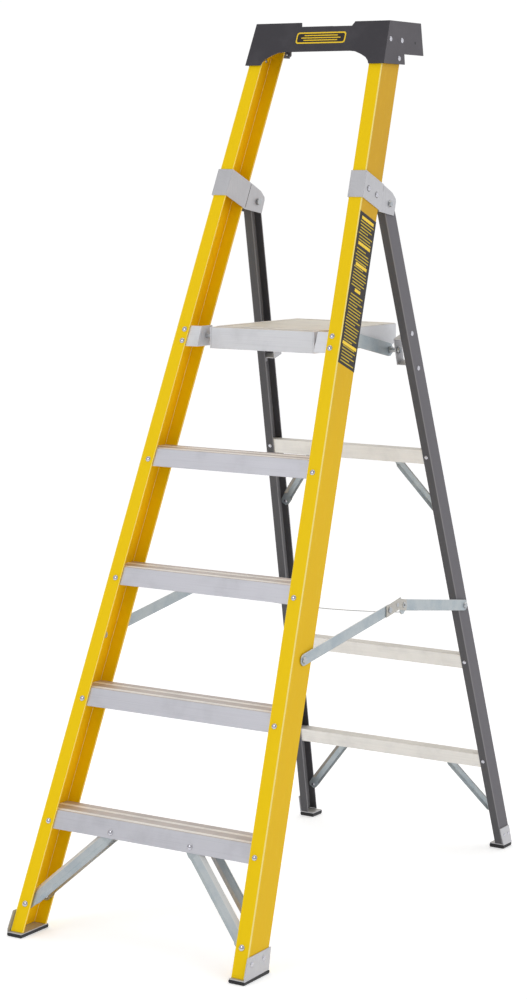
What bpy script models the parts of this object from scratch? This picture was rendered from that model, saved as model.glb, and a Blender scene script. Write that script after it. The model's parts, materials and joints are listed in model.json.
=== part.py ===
"""Platform step ladder: a leaning front frame with four treads, a hinged rear frame, a folding
platform on two arms, and a pair of jointed spreaders tied together by a wire.

Metres, +Z up, +X to the right of someone who faces the treads, +Y towards the rear frame.
"""

import math

import bmesh
import bpy
from mathutils import Vector

GAP = 0.0003  # clearance between touching pieces
PIN_PLAY = 0.0003  # radial clearance of a pin in its hole
SIDES = ((-1, "left"), (1, "right"))

# Where the feet stand: the front face of the front stiles meets the floor at FOOT_Y.
FOOT_Y = -0.6081

# Front frame: channel stiles that lean back and come closer together towards the top.
FRONT_LEAN = math.radians(21.78)
FRONT_HALF_WIDTH = 0.2960
FRONT_TAPER = 0.0627  # half width lost for each metre along the stile
FRONT_FLANGE = 0.0338
FRONT_DEPTH = 0.0759
FRONT_WALL = 0.0035
FRONT_TOP = 1.900
TREAD_PITCH = 0.250
TREAD_COUNT = 4
FIRST_TREAD = 0.2573
TREAD_SKIRT = 0.0376
TREAD_WALL = 0.0022
TREAD_TOP_WALL = 0.0030

# Rear frame: lighter channel stiles that lean forward, joined by three bars.
REAR_LEAN = math.radians(16.27)
REAR_FOOT = 1.1783  # distance behind the front foot
REAR_HALF_WIDTH = 0.2830
REAR_TAPER = 0.0625
REAR_FLANGE = 0.0209
REAR_DEPTH = 0.0434
REAR_WALL = 0.0030
REAR_STILE_LENGTH = 1.6135
REAR_BAR_TOPS = {"bottom": 0.240, "middle": 0.490, "top": 0.983}
REAR_BAR_HEIGHT = 0.033

# Pivots, as (distance behind the front foot, height).
HINGE = (0.7474, 1.5381)
PLATFORM_PIVOT = (0.5330, 1.2480)
ARM_FRONT = (0.6810, 1.2440)
ARM_REAR = (0.8430, 1.2115)
SPREADER_FRONT = (0.2840, 0.6083)
LINK_FRONT = (0.6420, 0.6595)
LINK_REAR = (0.7160, 0.6595)
SPREADER_REAR = (1.0236, 0.6123)

# Platform.
PLATFORM_FRONT = 0.5220
PLATFORM_REAR = 0.8830
PLATFORM_TOP = 1.2680
PLATFORM_HEIGHT = 0.0467
PLATFORM_HALF_WIDTH = 0.1333
PLATFORM_WALL = 0.0030

# Top cap.
CAP_TOP = 1.9345
CAP_BOTTOM = 1.841
CAP_WALL = 0.0035
CAP_REAR = 0.9155
CAP_STEP_BACK = 0.8260
CAP_STEP_HEIGHT = 0.0225

# Flat bars, bolts and feet.
SPREADER_BAR_HALF = 0.0125
SPREADER_BAR_THICKNESS = 0.0025
ARM_INNER_FACE = 0.1365
ARM_THICKNESS = 0.0030
ARM_HALF = 0.0150
BOLT_RADIUS = 0.0040
HEAD_RADIUS = 0.0075
FRONT_PAD = 0.0070
REAR_PAD = 0.0085
SOLE = 0.0022
FOOT_PLATE_TOP = 0.052

GRP_YELLOW = ("grp_yellow", (0.83, 0.62, 0.02), 0.42, 0.0)
GRP_GREY = ("grp_grey", (0.085, 0.082, 0.087), 0.50, 0.0)
ALUMINIUM = ("aluminium", (0.72, 0.72, 0.74), 0.38, 0.9)
ZINC = ("zinc", (0.58, 0.61, 0.62), 0.34, 0.95)
MOULDED = ("moulded_black", (0.055, 0.055, 0.058), 0.55, 0.0)
RUBBER = ("rubber", (0.02, 0.02, 0.02), 0.85, 0.0)


class LeaningFrame:
    """A frame's own axes: u runs up along its stiles and v runs to the back, square to their face."""

    def __init__(self, foot, lean, half_width, taper):
        self.foot = FOOT_Y + foot
        self.sin = math.sin(lean)
        self.cos = math.cos(lean)
        self.half_width = half_width
        self.taper = taper

    def outer(self, u):
        return self.half_width - self.taper * u

    def point(self, x, u, v):
        return Vector((x, self.foot + u * self.sin + v * self.cos, u * self.cos - v * self.sin))

    def u_at(self, z, v):
        return (z + v * self.sin) / self.cos

    def y_at(self, z, v):
        return self.foot + self.u_at(z, v) * self.sin + v * self.cos

    def outer_at(self, y, z):
        return self.outer((y - self.foot) * self.sin + z * self.cos)

    def local(self, place):
        y = FOOT_Y + place[0] - self.foot
        return y * self.sin + place[1] * self.cos, y * self.cos - place[1] * self.sin


FRONT = LeaningFrame(0.0, FRONT_LEAN, FRONT_HALF_WIDTH, FRONT_TAPER)
REAR = LeaningFrame(REAR_FOOT, -REAR_LEAN, REAR_HALF_WIDTH, REAR_TAPER)


def clear_scene():
    for item in list(bpy.data.objects):
        bpy.data.objects.remove(item, do_unlink=True)


def material(finish):
    name, colour, roughness, metallic = finish
    made = bpy.data.materials.get(name)
    if made is None:
        made = bpy.data.materials.new(name)
        made.use_nodes = True
        shader = made.node_tree.nodes["Principled BSDF"]
        shader.inputs["Base Color"].default_value = (*colour, 1.0)
        shader.inputs["Roughness"].default_value = roughness
        shader.inputs["Metallic"].default_value = metallic
    return made


def world(place, x=0.0):
    """The world point of a (distance behind the front foot, height) pair."""
    return Vector((x, FOOT_Y + place[0], place[1]))


def pivot(name, place, parent=None):
    """An empty on a joint's axis, which carries the pieces that turn about it."""
    empty = bpy.data.objects.new(name, None)
    bpy.context.scene.collection.objects.link(empty)
    empty.parent = parent
    empty.location = world(place) - origin_of(parent)
    return empty


def origin_of(item):
    """World position of an unturned empty or object, found through its parents."""
    place = Vector((0.0, 0.0, 0.0))
    while item is not None:
        place += item.location
        item = item.parent
    return place


def add_mesh(name, points, faces, finish, parent=None):
    """A mesh object whose origin is its parent's, with its faces turned outwards."""
    origin = origin_of(parent)
    mesh = bpy.data.meshes.new(name)
    bm = bmesh.new()
    corners = [bm.verts.new(Vector(point) - origin) for point in points]
    for face in faces:
        bm.faces.new([corners[index] for index in face])
    bmesh.ops.recalc_face_normals(bm, faces=bm.faces)
    bm.to_mesh(mesh)
    bm.free()
    mesh.materials.append(material(finish))
    item = bpy.data.objects.new(name, mesh)
    bpy.context.scene.collection.objects.link(item)
    item.parent = parent
    return item


def loft(name, loops, finish, parent=None):
    """A closed body through loops of equally many points, with a flat face at each end."""
    count = len(loops[0])
    points = [point for loop in loops for point in loop]
    faces = [list(range(count)), list(range(len(points) - count, len(points)))]
    for ring in range(len(loops) - 1):
        for index in range(count):
            here, after = ring * count + index, ring * count + (index + 1) % count
            faces.append([here, after, after + count, here + count])
    return add_mesh(name, points, faces, finish, parent)


def plate(name, outline, side, inner, outer, finish, parent=None):
    """A flat piece in the YZ plane; inner and outer give the x of its faces at a (y, z)."""
    loops = [[Vector((side * face(y, z), y, z)) for y, z in outline] for face in (inner, outer)]
    return loft(name, loops, finish, parent)


def level(x):
    return lambda y, z: x


def sheet(name, points, faces, thickness, finish, parent=None, outwards=1.0):
    """Bent sheet metal: a surface given a thickness on one side."""
    item = add_mesh(name, points, faces, finish, parent)
    solid = item.modifiers.new("thickness", "SOLIDIFY")
    solid.thickness = thickness
    solid.offset = outwards
    solid.use_even_offset = True
    return item


def strip_outline(path, thickness):
    """The closed outline of a strip bent along a path, thickened to the left of the path."""
    normals = []
    for start, end in zip(path, path[1:]):
        along = Vector(end) - Vector(start)
        normals.append(Vector((-along.y, along.x)).normalized())
    shifted = []
    for index, corner in enumerate(path):
        before = normals[max(index - 1, 0)]
        after = normals[min(index, len(normals) - 1)]
        mitre = (before + after).normalized()
        shifted.append(Vector(corner) + mitre * (thickness / mitre.dot(after)))
    return [Vector(corner) for corner in path] + shifted[::-1]


def arc(centre, radius, start, end, steps):
    angles = [math.radians(start + (end - start) * step / steps) for step in range(steps + 1)]
    return [(centre[0] + radius * math.cos(a), centre[1] + radius * math.sin(a)) for a in angles]


def bar_outline(start, end, half, steps=6):
    """A flat bar between two (distance, height) pivots, with a round end about each of them."""
    a, b = world(start), world(end)
    heading = math.degrees(math.atan2(b.z - a.z, b.y - a.y))
    far = arc((b.y, b.z), half, heading - 90, heading + 90, steps)
    near = arc((a.y, a.z), half, heading + 90, heading + 270, steps)
    return far + near


def turned(name, place, side, profile, finish, parent=None, segments=14):
    """A bolt or pin turned about an X axis; profile lists (x, radius) from the inside out."""
    centre = world(place)
    loops = []
    for x, radius in profile:
        loops.append([
            Vector((side * x, centre.y + radius * math.cos(a), centre.z + radius * math.sin(a)))
            for a in (2 * math.pi * step / segments for step in range(segments))
        ])
    return loft(name, loops, finish, parent)


def bolt_profile(nut_inside, nut_outside, head_inside, head_outside):
    """A nut at the inner end, a plain shank, and a head at the outer end."""
    return [
        (nut_inside, HEAD_RADIUS), (nut_outside, HEAD_RADIUS), (nut_outside, BOLT_RADIUS),
        (head_inside, BOLT_RADIUS), (head_inside, HEAD_RADIUS), (head_outside, HEAD_RADIUS * 0.8),
    ]


def cut(item, cutter, name):
    """Takes the cutter's shape out of a piece."""
    cutter.hide_render = True
    cutter.display_type = "WIRE"
    taken = item.modifiers.new(name, "BOOLEAN")
    taken.operation = "DIFFERENCE"
    taken.solver = "EXACT"
    taken.object = cutter


def drill(item, place, side, inner, outer, radius=BOLT_RADIUS + PIN_PLAY):
    """A round hole along X through a piece, between two x distances."""
    cutter = turned(f"{item.name}_hole_{len(item.modifiers)}", place, side,
                    [(inner, radius), (outer, radius)], ZINC)
    cut(item, cutter, f"hole_{len(item.modifiers)}")


def channel_profile(flange, depth, wall, corner=0.0030):
    """A channel's section as (inset from its outer face, depth) points, with round outer corners."""
    front = arc((corner, corner), corner, 270, 180, 2)
    back = arc((corner, depth - corner), corner, 180, 90, 2)
    return [(flange, 0.0), *front, *back, (flange, depth), (flange, depth - wall),
            (wall, depth - wall), (wall, wall), (flange, wall)]


def stile(name, frame, side, profile, bottom, top, finish, parent=None):
    """A channel along a frame's side; bottom and top give u at a depth v."""
    loops = []
    for u_of in (bottom, top):
        loop = []
        for inset, v in profile:
            u = u_of(v)
            loop.append(frame.point(side * (frame.outer(u) - inset), u, v))
        loops.append(loop)
    return loft(name, loops, finish, parent)


def cross_bar(name, frame, top, height, wall, top_wall, front, back, end_gap, finish, parent=None):
    """A down-turned channel from stile to stile: a level top with a skirt at the front and back."""
    section = [(front, top - height), (front, top), (back, top), (back, top - height),
               (back - wall, top - height), (back - wall, top - top_wall),
               (front + wall, top - top_wall), (front + wall, top - height)]
    loops = []
    for side in (-1, 1):
        loop = []
        for v, z in section:
            u = frame.u_at(z, v)
            loop.append(frame.point(side * (frame.outer(u) - end_gap), u, v))
        loops.append(loop)
    return loft(name, loops, finish, parent)


def brace(name, frame, side, start, end, v, lip, parent=None):
    """A pressed brace between two (x, z) fixings: splayed edges, and flat tabs at both ends."""
    half, crown, tab, neck, tip = 0.0120, 0.0060, 0.0160, 0.0240, 0.0090
    first = Vector((start[0], frame.u_at(start[1], v)))
    last = Vector((end[0], frame.u_at(end[1], v)))
    along = (last - first).normalized()
    across = Vector((-along.y, along.x))
    length = (last - first).length
    stations = [(-tip, 0.5, 0.0), (-0.3 * tip, 0.9, 0.0), (tab, 1.0, 0.0), (neck, 1.0, 1.0),
                (length - neck, 1.0, 1.0), (length - tab, 1.0, 0.0),
                (length + 0.3 * tip, 0.9, 0.0), (length + tip, 0.5, 0.0)]
    points, faces = [], []
    for distance, width, depth in stations:
        for offset, drop in ((-half, lip), (-crown, 0.0), (crown, 0.0), (half, lip)):
            spot = first + along * distance + across * offset * width
            points.append(frame.point(side * spot.x, spot.y, v + drop * depth))
    for row in range(len(stations) - 1):
        for column in range(3):
            corner = row * 4 + column
            faces.append([corner, corner + 1, corner + 5, corner + 4])
    return sheet(name, points, faces, 0.0014, ZINC, parent, 0.0)


def foot_bracket(name, frame, side, outline, sole_edge, pad, parent=None):
    """An angle that clasps a stile's foot: a leg on its outer face and a sole under its end."""
    top = pad + GAP + SOLE
    leg = [Vector((side * (frame.outer_at(y, z) + GAP), y, z)) for y, z in outline]
    front_y, back_y = outline[0][0], outline[-1][0]
    sole = [Vector((side * sole_edge, front_y, top)), Vector((side * sole_edge, back_y, top))]
    points = leg + sole
    count = len(leg)
    faces = [list(range(count)), [0, count - 1, count + 1, count]]
    item = sheet(name, points, faces, SOLE, ALUMINIUM, parent)
    return face_solid_away(item, side)


def face_solid_away(item, side):
    """Turns an open sheet's faces so that its thickness grows away from the middle of the ladder."""
    bm = bmesh.new()
    bm.from_mesh(item.data)
    bm.faces.ensure_lookup_table()
    if bm.faces[0].normal.x * side < 0:
        bmesh.ops.reverse_faces(bm, faces=bm.faces)
    bm.to_mesh(item.data)
    bm.free()
    return item


def foot_pad(name, side, inner, outer, front_y, back_y, height, parent=None):
    """A rubber pad whose lower edges are slightly drawn in."""
    draft = 0.0010
    loops = []
    for z, inset in ((0.0, draft), (height * 0.4, 0.0), (height, 0.0)):
        loops.append([
            Vector((side * (inner + inset), front_y + inset, z)),
            Vector((side * (outer - inset), front_y + inset, z)),
            Vector((side * (outer - inset), back_y - inset, z)),
            Vector((side * (inner + inset), back_y - inset, z)),
        ])
    return loft(name, loops, RUBBER, parent)


def front_stiles():
    profile = channel_profile(FRONT_FLANGE, FRONT_DEPTH, FRONT_WALL)
    bottom = FRONT_PAD + SOLE + 2 * GAP
    u, _ = FRONT.local(SPREADER_FRONT)
    web = FRONT.outer(u)
    for side, label in SIDES:
        item = stile(f"front_stile_{label}", FRONT, side, profile,
                     lambda v: FRONT.u_at(bottom, v), lambda v: FRONT.u_at(FRONT_TOP, v), GRP_YELLOW)
        drill(item, SPREADER_FRONT, side, web - 0.012, web + 0.008)


def treads():
    front = FRONT_WALL + GAP
    back = FRONT_DEPTH - FRONT_WALL - GAP
    for index in range(TREAD_COUNT):
        cross_bar(f"tread_{index + 1}", FRONT, FIRST_TREAD + TREAD_PITCH * index, TREAD_SKIRT,
                  TREAD_WALL, TREAD_TOP_WALL, front, back, FRONT_WALL + GAP, ALUMINIUM)


def front_braces():
    """Two pairs of braces from the first tread's skirts down to the stiles' flanges."""
    tread_fixing, stile_fixing = (0.100, 0.2315), (0.272, 0.0665)
    behind_front_skirt = FRONT_WALL + TREAD_WALL + 2 * GAP + 0.0010
    ahead_of_rear_skirt = FRONT_DEPTH - FRONT_WALL - TREAD_WALL - 2 * GAP - 0.0010
    for side, label in SIDES:
        brace(f"front_brace_{label}", FRONT, side, tread_fixing, stile_fixing,
              behind_front_skirt, 0.0055)
        brace(f"inner_brace_{label}", FRONT, side, tread_fixing, stile_fixing,
              ahead_of_rear_skirt, -0.0055)


def top_cap():
    """A moulded cap, hollow below, with deep ends over the stiles and a dip in its top."""
    apron = -0.0045
    half_bottom, half_top = 0.1780, 0.1714
    arch = [(0.0840, 1.8695), (0.0990, 1.8680), (0.1150, 1.8620), (0.1290, 1.8545),
            (0.1360, 1.8470)]
    right = [*arch, (0.1385, CAP_BOTTOM), (half_bottom, CAP_BOTTOM), (half_top, CAP_TOP)]
    outline = right + [(-x, z) for x, z in reversed(right)]
    rear_slope = 0.0615

    def rear_y(z):
        return FOOT_Y + CAP_REAR - rear_slope * (z - CAP_BOTTOM)

    loops = [[Vector((x, FRONT.y_at(z, apron), z)) for x, z in outline],
             [Vector((x, rear_y(z), z)) for x, z in outline]]
    cap = loft("top_cap", loops, MOULDED)

    ceiling, below = 1.9185, 1.800
    slope = (half_bottom - half_top) / (CAP_TOP - CAP_BOTTOM)
    low = half_bottom - slope * (below - CAP_BOTTOM) - CAP_WALL
    high = half_bottom - slope * (ceiling - CAP_BOTTOM) - CAP_WALL
    hollow = [(-low, below), (low, below), (high, ceiling), (-high, ceiling)]
    loops = [[Vector((x, FRONT.y_at(z, apron + CAP_WALL), z)) for x, z in hollow],
             [Vector((x, rear_y(z) - CAP_WALL, z)) for x, z in hollow]]
    cut(cap, loft("cap_hollow", loops, MOULDED), "hollow")

    step_y, step_z = FOOT_Y + CAP_STEP_BACK, CAP_BOTTOM + CAP_STEP_HEIGHT
    step = [(step_y, below), (step_y, step_z), (step_y + 0.2, step_z), (step_y + 0.2, below)]
    cut(cap, plate("cap_step", step, 1, level(-0.3), level(0.3), MOULDED), "step")

    rim, tray_floor = 0.0045, 1.9225
    reach = half_top - rim
    tray = [(-reach, tray_floor), (reach, tray_floor), (reach, 1.9405), (-reach, 1.9405)]
    tray_ends = (FRONT.y_at(CAP_TOP, apron) + rim, rear_y(CAP_TOP) - rim)
    loops = [[Vector((x, y, z)) for x, z in tray] for y in tray_ends]
    cut(cap, loft("cap_tray", loops, MOULDED), "tray")

    wall_top, wall_reach = 1.8855, 0.1720
    gap = [(step_y, below), (step_y, wall_top), (step_y + 0.2, wall_top), (step_y + 0.2, below)]
    cut(cap, plate("cap_gap", gap, 1, level(-wall_reach), level(wall_reach), MOULDED), "gap")

    dip_floor, dip_left, dip_right, dip_slope = 1.9250, -0.0540, 0.0780, 0.0050
    dip = [(dip_left, dip_floor), (dip_right, dip_floor), (dip_right + 2 * dip_slope, 1.9405),
           (dip_left, 1.9405)]
    loops = [[Vector((x, FOOT_Y + y, z)) for x, z in dip] for y in (0.6, 1.0)]
    cut(cap, loft("cap_dip", loops, MOULDED), "dip")


def hinge_brackets():
    """Folded brackets round the front stiles, whose two ears hold the rear frame's hinge bolts."""
    bottom, top, web_end, ear_start = 1.6730, 1.7340, 0.0785, 0.0840
    ear_x = 0.1862
    front = -GAP
    ear = [(top, ear_start), (1.7325, 0.1250), (1.7255, 0.1450), (1.7190, 0.1485),
           (1.6885, 0.1510), (bottom, ear_start)]
    thickness = 0.0020

    def web(u):
        return FRONT.outer(u) + GAP

    def inside(u):
        return FRONT.outer(u) - FRONT_FLANGE - GAP

    nut_face = inside(FRONT.local(HINGE)[0] + HEAD_RADIUS + 0.0010) - thickness - GAP
    for side, label in SIDES:
        places = [(inside(bottom), bottom, front), (web(bottom), bottom, front),
                  (web(top), top, front), (inside(top), top, front),
                  (web(bottom), bottom, web_end), (web(top), top, web_end)]
        places += [(ear_x, u, v) for u, v in ear]
        places += [(inside(u), u, v) for u, v in ear]
        outer_ear = list(range(6, 12))
        inner_ear = list(range(12, 18))
        faces = [[0, 1, 2, 3], [1, 4, 5, 2], [4, 11, 6, 5], outer_ear,
                 [0, 3, *inner_ear]]
        points = [FRONT.point(side * x, u, v) for x, u, v in places]
        item = sheet(f"hinge_bracket_{label}", points, faces, thickness, ALUMINIUM)
        item = turn_front_forward(item)
        drill(item, HINGE, side, 0.140, 0.200)
        profile = [
            (nut_face - 0.0050, HEAD_RADIUS), (nut_face, HEAD_RADIUS),
            (nut_face, BOLT_RADIUS), (0.1560, BOLT_RADIUS),
            (0.1560, HEAD_RADIUS), (0.1610, HEAD_RADIUS), (0.1610, BOLT_RADIUS),
            (ear_x + thickness + GAP, BOLT_RADIUS), (ear_x + thickness + GAP, HEAD_RADIUS),
            (ear_x + thickness + 0.0050, HEAD_RADIUS * 0.8),
        ]
        turned(f"hinge_bolt_{label}", HINGE, side, profile, ZINC)


def turn_front_forward(item):
    """Turns an open sheet's faces so that its first face looks to the front."""
    bm = bmesh.new()
    bm.from_mesh(item.data)
    bm.faces.ensure_lookup_table()
    if bm.faces[0].normal.y > 0:
        bmesh.ops.reverse_faces(bm, faces=bm.faces)
    bm.to_mesh(item.data)
    bm.free()
    return item


def platform_brackets():
    """Angles riveted behind the front flanges; their side legs carry the platform's pivot bolts."""
    thickness, low, high = 0.0025, 1.2260, 1.2700
    outer_end, leg_x, leg_end = 0.2000, 0.1480, 0.5550
    for side, label in SIDES:
        loops = []
        for z in (low, high):
            face = FRONT.y_at(z, FRONT_WALL + GAP)
            path = [(leg_x, FOOT_Y + leg_end), (leg_x, face), (outer_end, face)]
            outline = strip_outline(path, thickness)
            loops.append([Vector((side * spot.x, spot.y, z)) for spot in outline])
        item = loft(f"platform_bracket_{label}", loops, ALUMINIUM)
        drill(item, PLATFORM_PIVOT, side, leg_x - 0.005, leg_x + 0.008)
        inner = PLATFORM_HALF_WIDTH - PLATFORM_WALL - GAP
        profile = [
            (inner - 0.0045, 0.0070), (inner, 0.0070), (inner, BOLT_RADIUS),
            (PLATFORM_HALF_WIDTH + GAP, BOLT_RADIUS), (PLATFORM_HALF_WIDTH + GAP, 0.0060),
            (leg_x - GAP, 0.0060), (leg_x - GAP, BOLT_RADIUS),
            (leg_x + thickness + GAP, BOLT_RADIUS), (leg_x + thickness + GAP, 0.0070),
            (leg_x + thickness + 0.0045, 0.0055),
        ]
        turned(f"platform_bolt_{label}", PLATFORM_PIVOT, side, profile, ZINC)


def front_feet():
    sole_top = FRONT_PAD + GAP + SOLE
    outline = [(FOOT_Y - 0.0030, sole_top), (FOOT_Y - 0.0026, sole_top + 0.0060),
               (FOOT_Y + 0.0135, FOOT_PLATE_TOP), (FOOT_Y + 0.1050, FOOT_PLATE_TOP),
               (FOOT_Y + 0.0920, sole_top)]
    for side, label in SIDES:
        sole_edge = FRONT.outer(0.0) - FRONT_FLANGE - 0.0020
        foot_bracket(f"front_foot_bracket_{label}", FRONT, side, outline, sole_edge, FRONT_PAD)
        foot_pad(f"front_foot_pad_{label}", side, sole_edge - 0.0005, FRONT.outer(0.0) + 0.0015,
                 FOOT_Y - 0.0040, FOOT_Y + 0.0925, FRONT_PAD)


def front_spreader_bolts():
    u, _ = FRONT.local(SPREADER_FRONT)
    web = FRONT.outer(u)
    bar_face = spreader_front_face() + SPREADER_BAR_THICKNESS
    for side, label in SIDES:
        profile = bolt_profile(web - FRONT_WALL - 0.0055, web - FRONT_WALL - 2 * GAP,
                               bar_face + GAP, bar_face + 0.0040)
        turned(f"spreader_front_bolt_{label}", SPREADER_FRONT, side, profile, ZINC)


def rear_frame(hub):
    """The rear frame's stiles, bars, braces, feet and brackets, all carried by its hinge."""
    profile = channel_profile(REAR_FLANGE, REAR_DEPTH, REAR_WALL, 0.0025)
    bottom = REAR_PAD + SOLE + 2 * GAP
    for side, label in SIDES:
        item = stile(f"rear_stile_{label}", REAR, side, profile,
                     lambda v: REAR.u_at(bottom, v), lambda v: REAR_STILE_LENGTH, GRP_GREY, hub)
        drill(item, HINGE, side, 0.1700, 0.2000)
        web = REAR.outer(REAR.local(SPREADER_REAR)[0])
        drill(item, SPREADER_REAR, side, web - 0.012, web + 0.008)
    for label, top in REAR_BAR_TOPS.items():
        cross_bar(f"rear_bar_{label}", REAR, top, REAR_BAR_HEIGHT, 0.0020, 0.0020,
                  REAR_WALL + GAP, REAR_DEPTH - REAR_WALL - GAP, REAR_WALL + GAP, ALUMINIUM, hub)
    rear_braces(hub)
    rear_feet(hub)
    rear_platform_brackets(hub)
    rear_spreader_bolts(hub)


def rear_braces(hub):
    v = REAR_DEPTH - REAR_WALL - 0.0020 - 2 * GAP - 0.0010
    fixings = {"upper": ((0.1050, 0.9620), (0.2130, 0.8260)),
               "lower": ((0.1350, 0.2200), (0.2580, 0.0800))}
    for side, label in SIDES:
        for level_name, (start, end) in fixings.items():
            brace(f"rear_brace_{level_name}_{label}", REAR, side, start, end, v, -0.0055, hub)


def rear_feet(hub):
    sole_top = REAR_PAD + GAP + SOLE
    foot = FOOT_Y + REAR_FOOT
    outline = [(foot - 0.0020, sole_top), (foot - 0.0170, FOOT_PLATE_TOP),
               (foot + 0.0280, FOOT_PLATE_TOP + 0.001), (foot + 0.0400, sole_top)]
    for side, label in SIDES:
        inner = REAR_HALF_WIDTH - 0.0360
        foot_bracket(f"rear_foot_bracket_{label}", REAR, side, outline, inner, REAR_PAD, hub)
        foot_pad(f"rear_foot_pad_{label}", side, inner - 0.0005, REAR_HALF_WIDTH + 0.0015,
                 foot - 0.0025, foot + 0.0407, REAR_PAD, hub)


def rear_platform_brackets(hub):
    """Hat-shaped brackets that stand in from the rear stiles and carry the arms' rear bolts."""
    u, _ = REAR.local(ARM_REAR)
    thickness, plate_x = 0.0020, 0.1605
    crown, brim, low_v, high_v = 0.0310, 0.0500, 0.0038, 0.0350
    for side, label in SIDES:
        def foot_x(height):
            return REAR.outer(height) - REAR_WALL - GAP - thickness

        path = [(foot_x(u - brim), u - brim), (foot_x(u - crown), u - crown),
                (plate_x, u - crown), (plate_x, u + crown),
                (foot_x(u + crown), u + crown), (foot_x(u + brim), u + brim)]
        outline = strip_outline(path, -thickness)
        loops = [[REAR.point(side * spot.x, spot.y, v) for spot in outline]
                 for v in (low_v, high_v)]
        item = loft(f"arm_bracket_{label}", loops, ALUMINIUM, hub)
        drill(item, ARM_REAR, side, plate_x - 0.004, plate_x + 0.006)
        outer = ARM_INNER_FACE + ARM_THICKNESS
        profile = [
            (ARM_INNER_FACE - 0.0026, 0.0065), (ARM_INNER_FACE - GAP, 0.0070),
            (ARM_INNER_FACE - GAP, BOLT_RADIUS), (outer + GAP, BOLT_RADIUS),
            (outer + GAP, 0.0080), (outer + 0.0060, 0.0080), (outer + 0.0060, 0.0055),
            (plate_x - GAP, 0.0055), (plate_x - GAP, BOLT_RADIUS),
            (plate_x + thickness + GAP, BOLT_RADIUS), (plate_x + thickness + GAP, 0.0080),
            (plate_x + thickness + 0.0045, 0.0065),
        ]
        turned(f"arm_bolt_{label}", ARM_REAR, side, profile, ZINC, hub)


def rear_spreader_bolts(hub):
    web = REAR.outer(REAR.local(SPREADER_REAR)[0])
    for side, label in SIDES:
        profile = bolt_profile(web - REAR_WALL - 0.0055, web - REAR_WALL - 2 * GAP,
                               spreader_rear_face(SPREADER_REAR[0]) + SPREADER_BAR_THICKNESS + GAP,
                               spreader_rear_face(SPREADER_REAR[0]) + 0.0065)
        turned(f"spreader_rear_bolt_{label}", SPREADER_REAR, side, profile, ZINC, hub)


def platform(hub):
    """The platform: a front rail, a deck and two side flanges, turning on the pivot bolts."""
    top, low = PLATFORM_TOP, PLATFORM_TOP - PLATFORM_HEIGHT
    front, wall = FOOT_Y + PLATFORM_FRONT, PLATFORM_WALL
    rear = FOOT_Y + PLATFORM_REAR
    inside = PLATFORM_HALF_WIDTH - wall - GAP
    lip = front + 0.0230
    rail = [(front, low), (front, top), (lip, top), (lip, top - wall), (front + wall, top - wall),
            (front + wall, low + wall), (front + 0.0180, low + wall), (front + 0.0180, low)]
    plate("platform_front_rail", rail, 1, level(-inside), level(inside), ALUMINIUM, hub)
    start, drop = lip + 2 * GAP, 0.0200
    deck = [(start, top - drop), (start, top), (rear, top), (rear, top - drop),
            (rear - wall, top - drop), (rear - wall, top - wall), (start + wall, top - wall),
            (start + wall, top - drop)]
    plate("platform_deck", deck, 1, level(-inside), level(inside), ALUMINIUM, hub)
    flange = [(front, low), (front, top), (rear, top), (rear, low + 0.0120),
              (rear - 0.0140, low)]
    for side, label in SIDES:
        item = plate(f"platform_side_{label}", flange, side, level(inside + GAP),
                     level(PLATFORM_HALF_WIDTH), ALUMINIUM, hub)
        drill(item, PLATFORM_PIVOT, side, inside - 0.004, PLATFORM_HALF_WIDTH + 0.004)


def platform_arms(rear_hub):
    for side, label in SIDES:
        hub = pivot(f"arm_pivot_{label}", ARM_REAR, rear_hub)
        outer = ARM_INNER_FACE + ARM_THICKNESS
        item = plate(f"platform_arm_{label}", bar_outline(ARM_REAR, ARM_FRONT, ARM_HALF), side,
                     level(ARM_INNER_FACE), level(outer), ZINC, hub)
        drill(item, ARM_REAR, side, ARM_INNER_FACE - 0.004, outer + 0.004)
        drill(item, ARM_FRONT, side, ARM_INNER_FACE - 0.004, outer + 0.004)


def spreader_front_face():
    """x of a front spreader bar's inner face, clear of the web under the bar's round end."""
    return FRONT.outer(FRONT.local(SPREADER_FRONT)[0] - SPREADER_BAR_HALF - 0.0010) + GAP


def spreader_link_face():
    return spreader_front_face() + SPREADER_BAR_THICKNESS + GAP


def spreader_rear_face(distance):
    """x of a rear spreader bar's inner face: it splays out from the rear stile to the link."""
    at_link = spreader_front_face() - 0.0053
    at_stile = REAR.outer(REAR.local(SPREADER_REAR)[0] - SPREADER_BAR_HALF - 0.0010) + 2 * GAP
    share = (distance - LINK_REAR[0]) / (SPREADER_REAR[0] - LINK_REAR[0])
    return at_link + (at_stile - at_link) * share


def spreaders(rear_hub):
    thickness = SPREADER_BAR_THICKNESS
    rear_bar_hub = pivot("spreader_rear_pivot", SPREADER_REAR, rear_hub)
    front_face, link_face = spreader_front_face(), spreader_link_face()
    bar = bar_outline(SPREADER_FRONT, LINK_FRONT, SPREADER_BAR_HALF)
    for side, label in SIDES:
        hub = pivot(f"spreader_front_pivot_{label}", SPREADER_FRONT)
        item = plate(f"spreader_front_bar_{label}", bar, side, level(front_face),
                     level(front_face + thickness), ZINC, hub)
        drill(item, SPREADER_FRONT, side, front_face - 0.004, front_face + 0.006)
        drill(item, LINK_FRONT, side, front_face - 0.004, front_face + 0.006)
        profile = bolt_profile(front_face - 0.0022, front_face - GAP,
                               link_face + thickness + GAP, link_face + thickness + 0.0030)
        turned(f"spreader_link_pin_{label}", LINK_FRONT, side, profile, ZINC, hub)
        link_hub = pivot(f"spreader_link_pivot_{label}", LINK_FRONT, hub)
        item = spreader_link(side, label, link_hub)
        drill(item, LINK_FRONT, side, link_face - 0.004, link_face + 0.006)
        drill(item, LINK_REAR, side, link_face - 0.010, link_face + 0.006)
        rear_spreader_bar(side, label, rear_bar_hub)
    tie_wire(rear_bar_hub)


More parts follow.
